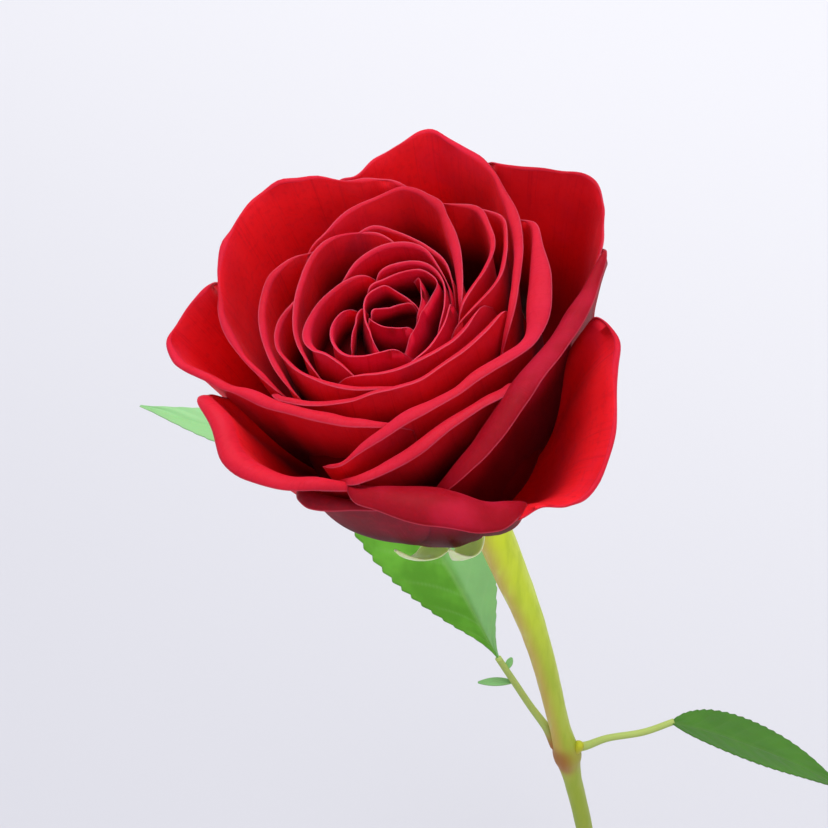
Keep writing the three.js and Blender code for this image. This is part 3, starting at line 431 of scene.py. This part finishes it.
def petal_grid(petal, seed):
    """A petal's middle sheet, and where it lies: columns, rows and depth.

    Columns run from 0 at the petal's first station to 1 at its last. Rows run from 0 at the claw
    over 1 at the rim to 2 at the edge of the lip. Depth is 0 at the rim and 1 where light ends.
    """
    stations = PETALS[petal]
    reversed_ends = stations[0][0] < stations[-1][0]
    if reversed_ends:
        stations = stations[::-1]
    u = np.linspace(0, 1, COLUMNS_PER_STATION * (len(stations) - 1) + 1)
    v = np.concatenate([np.linspace(0, 1, PETAL_ROWS), 1 + np.linspace(0, 1, LIP_ROWS + 1)[1:]])

    # The rim.
    azimuth, radius, lift = spline([s[:3] for s in stations], u).T
    lip = np.maximum(THINNEST_LIP, spline([s[3] for s in stations], u)[:, 0])
    outer = np.clip((radius - 12) / 20, 0, 1)
    level_rim = bloom_point(radius, azimuth, CROWN_HEIGHT)
    lift = lift + RIM_WAVE * (0.3 + outer) * wander(level_rim, WAVE_LENGTH, seed + 40)
    crest = rim_height(radius, azimuth) + lift

    # From the claw over the belly up to the rim, and over it into the lip.
    belly = (BELLY_BASE + BELLY_SHARE * radius) * FULLNESS.get(petal, 1.0)
    t = np.minimum(v, 1)[:, None]

    def bezier(a, b, c, d):
        return a * (1 - t) ** 3 + 3 * b * t * (1 - t) ** 2 + 3 * c * t * t * (1 - t) + d * t ** 3

    r = bezier(SEAT_RADIUS, 0.95 * belly, belly, radius)
    h = bezier(2, 1, 0.6 * crest, crest)
    rise = np.arctan2(0.4 * crest, radius - belly + 4)
    turn = np.maximum(v - 1, 0)[:, None] * LIP_TURN
    r = r + lip / LIP_TURN * (np.sin(rise) - np.sin(rise - turn))
    h = h + lip / LIP_TURN * (np.cos(rise - turn) - np.cos(rise))
    claw = WIDE_CLAW.get(petal, PETAL_CLAW)
    spread = claw + (1 - claw) * smooth(t / 0.75)
    middle = (stations[0][0] + stations[-1][0]) / 2
    grid = bloom_point(r, middle + (azimuth - middle) * spread, h)

    # Ripples, stronger towards the lip, and folds that run down the petal.
    loose = (v[:, None] / 2) ** 2 * np.minimum(1, radius / 20)
    ripples = wander(grid, RIPPLE_LENGTH, seed) * loose * PETAL_RIPPLE
    width = np.sum(np.linalg.norm(np.diff(level_rim, axis=0), axis=1))
    on_sheet = np.stack(np.broadcast_arrays(u[None] * width, v[:, None] * 5, 0.0), -1)
    folds = wander(on_sheet, FOLD_LENGTH, seed + 80) * outer * PETAL_FOLD * smooth(v[:, None] / 0.8)
    grid = grid + grid_normals(grid) * (ripples + folds)[..., None]

    # Depth of the painted shade, less in an open petal.
    from_first = 1 - u if reversed_ends else u
    openness = OPENNESS.get(petal, 1.0)
    if petal in SHADED_END:
        openness = 1 + (openness - 1) * smooth(from_first / 0.4)
    deep = np.clip((crest - h) / (DARK_BASE + DARK_SHARE * radius) / openness, 0, 1)
    return grid, from_first, v, deep


# What the petal material reads: the side of the sheet, the place from claw to lip (0 to 1), the
# distances to the rim and across the petal in mm, a number of the petal's own, and how old, how
# deep down (which it paints as shade), how near the heart and how much deeper red and painted shade it
# gets.
PETAL_VALUES = ("side", "along", "rim", "across", "tone", "old", "deep", "inner", "dusky")
RIM_TAPER = 1.2                         # width of the band in which a petal thins out to its rim


def make_petals(name, chosen, material):
    """One object of several petals. chosen holds each one's number, which seeds its growth, and name."""
    pile = Pile(*PETAL_VALUES)
    for seed, petal in chosen:
        grid, columns, rows, deep = petal_grid(petal, seed)
        down = np.cumsum(np.linalg.norm(np.diff(grid, axis=0, prepend=grid[:1]), axis=-1), axis=0)
        over = np.cumsum(np.linalg.norm(np.diff(grid, axis=1, prepend=grid[:, :1]), axis=-1), axis=1)
        to_rim = np.minimum(down[-1:] - down, np.minimum(over, over[:, -1:] - over))
        half = PETAL_HALF_THICKNESS * (0.45 + 0.55 * smooth(to_rim / RIM_TAPER))
        width = over[PETAL_ROWS - 1, -1]
        widest = max(radius for _, radius, _, _ in PETALS[petal])
        pile.add_sheet(
            grid, half,
            along=rows[:, None] / 2,
            rim=to_rim,
            across=columns * width,
            tone=np.float64(seed * 0.618 % 1),
            old=np.float64(petal in OLDEST),
            deep=deep,
            dusky=DEEPER_RED_AND_SHADE.get(petal, 0) + SHADED_END.get(petal, 0) * (1 - smooth(columns / 0.3)),
            inner=np.float64(smooth((24 - widest) / 16)),
        )
    return pile.make(name, material, ["bloom"])


# Profile of the heart: radius and height above the seat.
HEART = [
    (0, 0.5), (7, 0.8), (14, 4.5), (20.5, 8), (24, 14), (24, 23), (22, 31), (18, 39), (12, 45),
    (7.5, 47), (4.5, 45), (0, 38),
]
HEART_SHIFT = (-2.2, -0.9)              # to the right and to the back


def make_heart(material):
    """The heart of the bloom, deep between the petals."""
    profile = spline(HEART, np.linspace(0, 1, 50))
    azimuth = np.linspace(0, 360, 48, endpoint=False)
    grid = bloom_point(np.maximum(profile[:, :1], 0.01), azimuth[None], profile[:, 1:])
    grid = grid + RIGHT * HEART_SHIFT[0] + BACK * HEART_SHIFT[1]
    faces = grid_faces(*grid.shape[:2], 0, closed=True)
    far_from_rim = 9
    pile = Pile(*PETAL_VALUES)
    # The heart is painted in the crevice colour all over: painted shade deep between the petals.
    pile.add(grid, faces, rim=np.float64(far_from_rim), deep=np.float64(1))
    return pile.make("bloom_heart", material, ["bloom"])


# ---- Materials ----------------------------------------------------------------------------

class Nodes:
    """A material with a Principled shader and short calls for the nodes that drive it."""

    def __init__(self, name, **fixed):
        self.material = bpy.data.materials.new(name)
        self.material.use_nodes = True
        self.tree = self.material.node_tree
        self.shader = self.tree.nodes["Principled BSDF"]
        for key, value in fixed.items():
            self.shader.inputs[key.replace("_", " ")].default_value = value

    def node(self, kind, **settings):
        node = self.tree.nodes.new("ShaderNode" + kind)
        for key, value in settings.items():
            setattr(node, key, value)
        return node

    def link(self, source, target):
        if isinstance(source, (int, float)):
            target.default_value = source
        elif isinstance(source, tuple):
            opaque = target.type == "RGBA" and len(source) == 3
            target.default_value = (*source, 1.0) if opaque else source
        else:
            self.tree.links.new(source, target)

    def into(self, socket, source):
        self.link(source, self.shader.inputs[socket])

    def value(self, name):
        """A number that the mesh holds at each point."""
        return self.node("Attribute", attribute_name=name).outputs["Fac"]

    def place(self):
        """The point's own place in the object, in metres."""
        return self.node("TexCoord").outputs["Object"]

    def math(self, operation, *values):
        node = self.node("Math", operation=operation)
        for k, value in enumerate(values):
            self.link(value, node.inputs[k])
        return node.outputs[0]

    def between(self, value, low, high):
        """0 at low, 1 at high, smooth in between."""
        node = self.node("MapRange", interpolation_type="SMOOTHSTEP")
        self.link(value, node.inputs["Value"])
        node.inputs["From Min"].default_value = low
        node.inputs["From Max"].default_value = high
        return node.outputs["Result"]

    def vector(self, x, y, z):
        node = self.node("CombineXYZ")
        for k, part in enumerate((x, y, z)):
            self.link(part, node.inputs[k])
        return node.outputs[0]

    def split(self, vector):
        node = self.node("SeparateXYZ")
        self.link(vector, node.inputs[0])
        return node.outputs

    def noise(self, where, scale, detail=3.0, roughness=0.55):
        node = self.node("TexNoise")
        self.link(where, node.inputs["Vector"])
        node.inputs["Scale"].default_value = scale
        node.inputs["Detail"].default_value = detail
        node.inputs["Roughness"].default_value = roughness
        return node.outputs["Fac"]

    def times(self, value, factor):
        return self.math("MULTIPLY", value, factor)

    def mix(self, share, a, b):
        node = self.node("Mix", data_type="RGBA")
        self.link(share, node.inputs[0])
        self.link(a, node.inputs[6])
        self.link(b, node.inputs[7])
        return node.outputs[2]

    def ramp(self, value, *stops):
        node = self.node("ValToRGB")
        bar = node.color_ramp
        while len(bar.elements) < len(stops):
            bar.elements.new(0.5)
        for element, (place, color) in zip(bar.elements, stops):
            element.position = place
            element.color = (*color, 1.0)
        self.link(value, node.inputs[0])
        return node.outputs[0]

    def bump(self, height, strength, distance):
        node = self.node("Bump")
        node.inputs["Strength"].default_value = strength
        node.inputs["Distance"].default_value = distance
        self.link(height, node.inputs["Height"])
        self.into("Normal", node.outputs[0])


# Colours from the claw (0) over the rim (0.5) to the edge of the rolled lip (1). Partly painted
# light: the faces under the rim are painted brighter and the rolled lips darker, to even out the
# light, which falls more on the lips than into the cup.
PETAL_REDS = [
    (0.0, (0.54, 0.002, 0.008)), (0.3, (0.90, 0.006, 0.012)), (0.47, (0.96, 0.014, 0.022)),
    (0.56, (0.64, 0.014, 0.034)), (1.0, (0.52, 0.012, 0.034)),
]
OLD_PETAL_REDS = [(0.0, (0.20, 0.05, 0.03)), (0.2, (0.16, 0.008, 0.012)), (0.5, (0.20, 0.008, 0.018))]


def petal_material():
    m = Nodes("petal", Specular_IOR_Level=0.14, IOR=1.35, Sheen_Weight=0.04, Sheen_Roughness=0.3,
              Subsurface_Weight=0.5, Subsurface_Scale=0.0012)
    m.shader.inputs["Sheen Tint"].default_value = (1.0, 0.3, 0.45, 1.0)
    m.shader.inputs["Subsurface Radius"].default_value = (1.0, 0.12, 0.12)
    along, inner = m.value("along"), m.value("inner")
    color = m.ramp(along, *PETAL_REDS)
    color = m.mix(m.times(m.value("side"), 0.5), color, (0.40, 0.003, 0.014))
    color = m.mix(m.times(inner, 0.6), color, (0.66, 0.006, 0.045))
    # Deeper red and painted shade: the listed petals and the shaded ends of others go towards a dark red.
    color = m.mix(m.value("dusky"), color, (0.20, 0.001, 0.006))
    color = m.mix(m.value("old"), color, m.ramp(along, *OLD_PETAL_REDS))
    along_petal = m.vector(m.times(m.value("across"), 1.3), m.times(along, 2.4), m.value("tone"))
    fibres = m.noise(along_petal, 1.5, 5, 0.7)
    color = m.mix(m.times(m.between(fibres, 0.5, 0.75), 0.3), color, (0.30, 0.0, 0.010))
    grain = m.noise(m.place(), 800, 2, 0.6)
    color = m.mix(m.times(m.between(grain, 0.45, 0.75), 0.22), color, (0.42, 0.004, 0.016))
    blotch = m.noise(m.place(), 60, 3)
    color = m.mix(m.times(m.between(blotch, 0.48, 0.72), 0.35), color, (0.60, 0.016, 0.060))
    dusk = m.noise(m.place(), 38, 2)
    color = m.mix(m.times(m.between(dusk, 0.5, 0.7), 0.28), color, (0.28, 0.001, 0.008))
    # Painted shade: the deeper down a point lies, and the nearer the heart, the nearer to black.
    depth = m.math("ADD", m.value("deep"), m.times(inner, 0.15))
    color = m.mix(m.times(m.between(depth, 0.38, 1.1), 0.9), color, (0.05, 0.0, 0.001))
    # Painted highlight: a pale pink line where the thin rim catches the light.
    edge_highlight = m.between(m.value("rim"), 0.35, 0.05)
    color = m.mix(m.times(edge_highlight, 0.4), color, (0.84, 0.11, 0.18))
    m.into("Base Color", color)
    m.into("Roughness", m.between(blotch, -0.9, 1.6))
    m.bump(fibres, 0.35, 0.0003)
    return m.material


# Colours from the cut end (0) to the hip (1).
STEM_GREENS = [
    (0.0, (0.20, 0.28, 0.02)), (0.5, (0.40, 0.48, 0.028)), (0.60, (0.48, 0.58, 0.024)),
    (0.72, (0.62, 0.76, 0.018)), (0.9, (0.72, 0.82, 0.014)), (1.0, (0.72, 0.82, 0.04)),
]
RUST = (0.36, 0.14, 0.022)


def stem_material():
    m = Nodes("stem", Specular_IOR_Level=0.2, Subsurface_Scale=0.0015)
    m.shader.inputs["Subsurface Radius"].default_value = (0.8, 1.0, 0.5)
    color = m.ramp(m.value("along"), *STEM_GREENS)
    x, y, z = m.split(m.place())
    streak = m.noise(m.vector(m.times(x, 9.0), m.times(y, 9.0), z), 45, 4)
    color = m.mix(m.times(m.between(streak, 0.42, 0.7), 0.25), color, (0.24, 0.38, 0.04))
    blush = m.times(m.value("blush"), m.between(streak, 0.1, 0.5))
    color = m.mix(blush, color, (0.60, 0.36, 0.07))
    color = m.mix(m.value("scar"), color, RUST)
    # Painted light: the sepals are painted a pale green that stands in for light against the shade of the
    # bloom above them, and their subsurface weight rises with it.
    color = m.mix(m.value("pale"), color, (0.70, 0.90, 0.38))
    m.into("Base Color", color)
    m.into("Subsurface Weight", m.math("MULTIPLY_ADD", m.value("pale"), 0.8, 0.08))
    m.into("Roughness", m.between(streak, -0.6, 1.9))
    m.bump(streak, 0.3, 0.0004)
    return m.material


def leaf_material():
    m = Nodes("leaf", Specular_IOR_Level=0.22, Subsurface_Weight=0.06, Subsurface_Scale=0.001)
    place = m.place()
    mottle = m.noise(place, 90, 3)
    upper = m.mix(m.between(mottle, 0.35, 0.7), (0.080, 0.270, 0.014), (0.125, 0.380, 0.030))
    under = m.mix(m.between(mottle, 0.35, 0.7), (0.20, 0.36, 0.14), (0.26, 0.42, 0.18))
    color = m.mix(m.value("side"), upper, under)
    color = m.mix(m.times(m.value("vein"), 0.45), color, (0.22, 0.42, 0.12))
    # Painted shade: the right leaf is painted a darker green to stand in for shade.
    color = m.mix(m.value("shade"), color, (0.030, 0.105, 0.010))
    # Pale green: partly painted light, the sheen on the right half of the left leaf; the back leaf and
    # the leaflets are made pale too.
    color = m.mix(m.value("pale"), color, (0.30, 0.58, 0.26))
    color = m.mix(m.value("stalk"), color, (0.40, 0.50, 0.13))
    color = m.mix(m.value("rust"), color, RUST)
    m.into("Base Color", color)
    m.into("Roughness", m.between(mottle, -1.0, 1.6))
    m.bump(m.noise(place, 900, 3), 0.25, 0.0002)
    return m.material


def glaze_material():
    m = Nodes("glaze", Specular_IOR_Level=0.5, Coat_Weight=0.35, Coat_Roughness=0.08)
    place = m.place()
    cloud = m.noise(place, 14, 3)
    speck = m.noise(place, 420, 2, 0.7)
    color = m.mix(m.between(cloud, 0.3, 0.7), (0.80, 0.79, 0.765), (0.86, 0.855, 0.84))
    color = m.mix(m.times(m.between(speck, 0.74, 0.8), 0.25), color, (0.42, 0.36, 0.30))
    m.into("Base Color", color)
    m.into("Roughness", m.between(cloud, -0.7, 3.2))
    m.bump(m.noise(place, 30, 2), 0.10, 0.001)
    return m.material


def water_material():
    m = Nodes("water", IOR=1.33, Transmission_Weight=1.0, Roughness=0.02)
    cloud = m.noise(m.place(), 8, 2)
    m.into("Base Color", m.mix(cloud, (0.93, 0.97, 0.95), (0.97, 0.99, 0.985)))
    return m.material


def floor_material():
    """Pale paper with painted light: lighter to the back and to the right, as behind the rose."""
    m = Nodes("floor", Roughness=0.7, Specular_IOR_Level=0.2)
    right, back, _ = m.split(m.place())
    diagonal = m.math("ADD", back, m.times(right, 0.5))
    color = m.mix(m.between(diagonal, -0.15, 0.85), (0.59, 0.59, 0.63), (0.80, 0.80, 0.825))
    m.into("Base Color", color)
    return m.material


# ---- Stem, hip, sepals and bud ------------------------------------------------------------

STEM_RINGS = 260
STEM_SIDES = 32
STEM_ROUGHNESS = 0.025                  # how far the stem's radius wanders, as a share of it
NODE_HEIGHT = 244.5                     # of the swelling
NODE_SWELL = 0.5
SCAR_HEIGHT = 245
BLUSH = 0.75                            # how brown the stem's left side is
BLUSH_FROM = 230                        # height at which it starts
HIP_PLACE = 1.0                         # colour of the hip and sepals: that of the stem's top
BUD = [(-21.2, 8.7, 246.6), (-20.2, 8.6, 248.4), (-19.5, 8.6, 250.4), (-19.4, 8.6, 252.0)]
BUD_RADIUS = 1.75
BUD_PLACE = 0.66                        # its colour, as a place along the stem


def add_rod(pile):
    """The stem itself, with its swelling, the brown scar there and the blush above it."""
    t = np.linspace(0, 1, STEM_RINGS)
    centres = spline([s[:3] for s in STEM_ROUTE], t)
    radii = spline([s[3] for s in STEM_ROUTE], t)
    height = centres[:, 2:]
    angle = np.linspace(0, 2 * math.pi, STEM_SIDES, endpoint=False)
    around = np.broadcast_arrays(6 * np.cos(angle)[None], 6 * np.sin(angle)[None], height)
    rough = wander(np.stack(around, -1), 7, 3)
    node = np.exp(-((height - NODE_HEIGHT) / 3.2) ** 2)
    radius = radii * (1 + STEM_ROUGHNESS * rough) + node * (NODE_SWELL + 0.25 * rough)
    leftward = -np.cos(angle)[None]
    upper_part = smooth((height - BLUSH_FROM) / 25) * smooth((STEM_ROUTE[-1][2] - height) / 12)
    blush = BLUSH * smooth((leftward + 0.5) / 1.2) * upper_part
    scar_band = np.exp(-(((height - SCAR_HEIGHT) / 6.5) ** 4))
    scar = scar_band * (0.35 + 0.65 * smooth((leftward + 0.8) / 1.2))
    pile.add_tube(centres, radius, STEM_SIDES, along=t[:, None], blush=blush, scar=scar)


def add_hip(pile):
    profile = spline([(0.05, HIP[0][1] - 0.5), *HIP, (0.05, 0)], np.linspace(0, 1, 30))
    azimuth = np.linspace(0, 360, 40, endpoint=False)
    grid = bloom_point(profile[:, :1], azimuth[None], profile[:, 1:])
    pile.add(grid, grid_faces(*grid.shape[:2], 0, closed=True), along=np.float64(HIP_PLACE))


def add_bud(pile):
    t = np.linspace(0, 1, 14)[:, None]
    radius = BUD_RADIUS * np.sqrt(np.maximum(1e-4, 1 - (2 * t - 0.75) ** 2 / 1.57))
    pile.add_tube(spline(BUD, t[:, 0]), radius, 18, along=np.float64(BUD_PLACE), scar=0.6 - 0.3 * t)


def make_stem(material):
    pile = Pile("along", "blush", "scar", "side", "pale")
    add_rod(pile)
    add_hip(pile)
    for azimuth, reach in SEPALS:
        grid, half = sepal_grid(azimuth, reach)
        # The sepals get the pale colour that stands in for light in the bloom's shade.
        pile.add_sheet(grid, half, along=np.float64(HIP_PLACE), pale=np.float64(1))
    add_bud(pile)
    return pile.make("rose_stem", material, ["stem"])


SEPAL_HALF_THICKNESS = 0.28


def sepal_grid(azimuth, reach):
    """The middle of a sepal that runs out under the petals, and its half thickness."""
    v = np.linspace(0, 1, 36)[:, None]
    w = np.linspace(-1, 1, 15)[None]
    radius, height = spline(SEPAL_RUN, v[:, 0]).T[..., None]
    radius = radius * reach
    half = SEPAL_WIDTH / 2 * (1 - v) ** 0.7 * (1 + 0.35 * np.sin(v * math.pi)) + 0.12
    turn = np.degrees(w * half / radius)
    grid = bloom_point(radius, azimuth + turn, height + 0.25 * np.abs(w))
    return grid, SEPAL_HALF_THICKNESS * (0.5 + 0.5 * (1 - np.abs(w) ** 3)) * np.ones_like(v)


# ---- Leaves -------------------------------------------------------------------------------

LEAF_HALF_THICKNESS = 0.18
SIDE_VEINS = 8                          # on each side of the midrib
TOOTH = 0.055                           # depth of the saw teeth, as a share of the half width
STALK_RINGS = 48


def blade_grid(leaf):
    """The middle of a leaf blade with fine saw teeth, and how much of a vein each point is."""
    rows = 8 * leaf["teeth"] + 1
    v = np.linspace(0, 1, rows)[:, None]
    w = np.linspace(-1, 1, 41)[None]
    centre = spline(leaf["midrib"], v[:, 0])
    tangent = unit(np.gradient(centre, axis=0))
    side = unit(np.array(leaf["side"], float))
    out = unit(side - tangent * (tangent @ side)[:, None])
    up = unit(np.cross(out, tangent))

    # Outline: widest where the leaf says, with teeth that point to the tip.
    widest, taper = leaf["widest"], leaf["taper"]
    peak = widest / (1 - widest)
    shape = (v / widest) ** (taper * peak) * ((1 - v) / (1 - widest)) ** taper
    phase = (v * leaf["teeth"]) % 1
    saw = np.where(phase < 0.7, phase / 0.7, (1 - phase) / 0.3)
    reach = w * (0.15 + leaf["half_width"] * shape * (1 + np.abs(w) ** 6 * (TOOTH * saw - 0.02)))

    # Veins that slant to the tip, the midrib, and the blade quilted between them.
    slant = v * SIDE_VEINS / 0.95 - np.abs(w) * 1.5
    from_vein = np.abs(slant - np.round(slant))
    vein = 0.6 * np.exp(-((from_vein / 0.05) ** 2)) * (1 - smooth((np.abs(w) - 0.6) / 0.4))
    rib = np.exp(-(w * leaf["half_width"] * np.maximum(shape, 0.1) / 0.7) ** 2)
    quilt = (0.5 - from_vein) * 0.9 * np.minimum(1, 3 * np.abs(w)) * (1 - w ** 6)
    fold = leaf["fold"]
    rise = np.abs(reach) * math.sin(fold) - quilt * 0.5 - rib * 0.3
    sideways = out[:, None] * (reach * math.cos(fold))[..., None]
    grid = centre[:, None] + sideways + up[:, None] * rise[..., None]
    return grid, np.clip(vein + 1.4 * rib, 0, 1)


def make_leaf(name, material, leaflets):
    """A blade on its stalk, with the small leaflets at the stalk's joint."""
    leaf = LEAVES[name]
    pile = Pile("side", "vein", "stalk", "pale", "shade", "rust")
    grid, vein = blade_grid(leaf)
    right_half = smooth(np.linspace(-1, 1, grid.shape[1]) * 4 + 0.2)
    # The left leaf's right half is painted pale as painted sheen.
    pale_left, pale_right = leaf["pale"]
    pale = pale_left + (pale_right - pale_left) * right_half
    pile.add_sheet(grid, LEAF_HALF_THICKNESS, vein=vein, pale=pale, shade=np.float64(leaf["shade"]))
    t = np.linspace(0, 1, STALK_RINGS)
    stations = np.array([leaf["root"], *leaf["petiole"]], float)
    rust = leaf["rust"] * (1 - smooth((t[:, None] - 0.04) / 0.26))
    pile.add_tube(spline(stations[:, :3], t), spline(stations[:, 3], t), 16,
                  stalk=np.float64(1), rust=rust)
    for small in leaflets:
        pile.add_sheet(leaflet_grid(small), LEAF_HALF_THICKNESS, vein=np.float64(0.15),
                       pale=np.float64(0.6))
    return pile.make(name + "_blade", material, [name])


def leaflet_grid(small):
    foot, tip = np.array(small["foot"], float), np.array(small["tip"], float)
    v = np.linspace(0, 1, 40)[:, None]
    w = np.linspace(-1, 1, 13)[None]
    out = unit(np.cross(tip - foot, (0, 0, 1)))
    reach = w * (0.15 + small["half_width"] * np.sin(math.pi * v) ** 0.8)
    sag = np.array([0, 0, 1]) * (np.abs(reach) * 0.3)[..., None]
    return foot + (tip - foot) * v[..., None] + out * reach[..., None] + sag


# ---- Vase, water and floor ----------------------------------------------------------------

def turned(pile, profile, sides):
    """A body turned from its profile, which runs from the axis and back to it."""
    angle = np.linspace(0, 2 * math.pi, sides, endpoint=False)
    r, z = profile[:, :1], profile[:, 1:]
    grid = np.stack(np.broadcast_arrays(r * np.cos(angle), r * np.sin(angle), z), -1)
    pile.add(grid, grid_faces(len(profile), sides, 0, closed=True))


AXIS = 0.01                             # radius at which a turned profile starts and ends


def vase_inside():
    return spline(VASE_INSIDE, np.linspace(0, 1, 70))


def make_vase(material):
    foot = [(AXIS, 0), (13, 0), (24, 0), (26.2, 0.15)]
    foot_edge = spline([(26.9, 0.5), (28, 1.2), (29, 2)], np.linspace(0, 1, 5))[:-1]
    outside = spline(VASE_OUTSIDE, np.linspace(0, 1, 90))
    lip = [(14.9, VASE_HEIGHT - 0.3), (14.1, VASE_HEIGHT), (13, VASE_HEIGHT - 0.15)]
    floor = [(12, VASE_FLOOR), (AXIS, VASE_FLOOR)]
    pile = Pile()
    turned(pile, np.vstack([foot, foot_edge, outside, lip, vase_inside(), floor]), 128)
    return pile.make("bud_vase", material, ["vase"])


WATER_FROM_WALL = 0.6
WATER_FROM_FLOOR = 0.3


def make_water(material):
    """The water, whose edge climbs the wall a little."""
    side = vase_inside()[::-1]
    side = side[side[:, 1] < WATER_LEVEL - 0.8] - [WATER_FROM_WALL, 0]
    side[0, 1] += WATER_FROM_FLOOR
    bottom = [(AXIS, VASE_FLOOR + WATER_FROM_FLOOR)]
    top = [(13.2, WATER_LEVEL), (12.6, WATER_LEVEL - 0.5), (11.6, WATER_LEVEL - 0.8),
           (AXIS, WATER_LEVEL - 0.9)]
    pile = Pile()
    turned(pile, np.vstack([bottom, side, top]), 96)
    return pile.make("water_in_vase", material, ["water"])


FLOOR_REACH = 6.0                       # in metres, each way


def make_floor(material):
    mesh = bpy.data.meshes.new("floor")
    turns = [(-1, -1), (1, -1), (1, 1), (-1, 1)]
    corners = [(FLOOR_REACH * x, FLOOR_REACH * y, 0) for x, y in turns]
    mesh.from_pydata(corners, [], [(0, 1, 2, 3)])
    mesh.materials.append(material)
    floor = bpy.data.objects.new("floor", mesh)
    bpy.context.scene.collection.objects.link(floor)


# ---- Light --------------------------------------------------------------------------------

LIT_PLACE = Vector((-0.069, 0.010, 0.43))  # the middle of the bloom, in metres


def area_light(name, place, size, watts, color):
    """A round soft light that shines on the bloom. Places and sizes are in metres."""
    data = bpy.data.lights.new(name, "AREA")
    data.shape = "DISK"
    data.size = size
    data.energy = watts
    data.color = color
    light = bpy.data.objects.new(name, data)
    light.location = place
    light.rotation_euler = (LIT_PLACE - Vector(place)).to_track_quat("-Z", "Y").to_euler()
    bpy.context.scene.collection.objects.link(light)


def make_light():
    world = bpy.data.worlds.new("studio")
    world.use_nodes = True
    background = world.node_tree.nodes["Background"]
    background.inputs["Color"].default_value = (0.93, 0.94, 1.0, 1)
    background.inputs["Strength"].default_value = 0.80
    bpy.context.scene.world = world
    area_light("key", place=(-0.2, 0.45, 1.9), size=0.9, watts=18, color=(1.0, 0.98, 0.96))
    area_light("fill", place=(0.6, -1.0, 1.4), size=1.2, watts=3, color=(0.97, 0.98, 1.0))
    bpy.context.scene.view_settings.view_transform = "Standard"


# ---- Everything ---------------------------------------------------------------------------

OUTER_PETALS = 11
MIDDLE_PETALS = 8


def make_rose():
    petal = petal_material()
    numbered = list(enumerate(PETALS))
    inner_from = OUTER_PETALS + MIDDLE_PETALS
    make_petals("petals_outer", numbered[:OUTER_PETALS], petal)
    make_petals("petals_middle", numbered[OUTER_PETALS:inner_from], petal)
    make_petals("petals_inner", numbered[inner_from:], petal)
    make_heart(petal)
    make_stem(stem_material())
    leaf = leaf_material()
    make_leaf("leaf_left", leaf, LEAFLETS)
    make_leaf("leaf_right", leaf, [])
    make_leaf("leaf_back", leaf, [])


make_camera()
make_light()
make_floor(floor_material())
make_rose()
make_vase(glaze_material())
make_water(water_material())
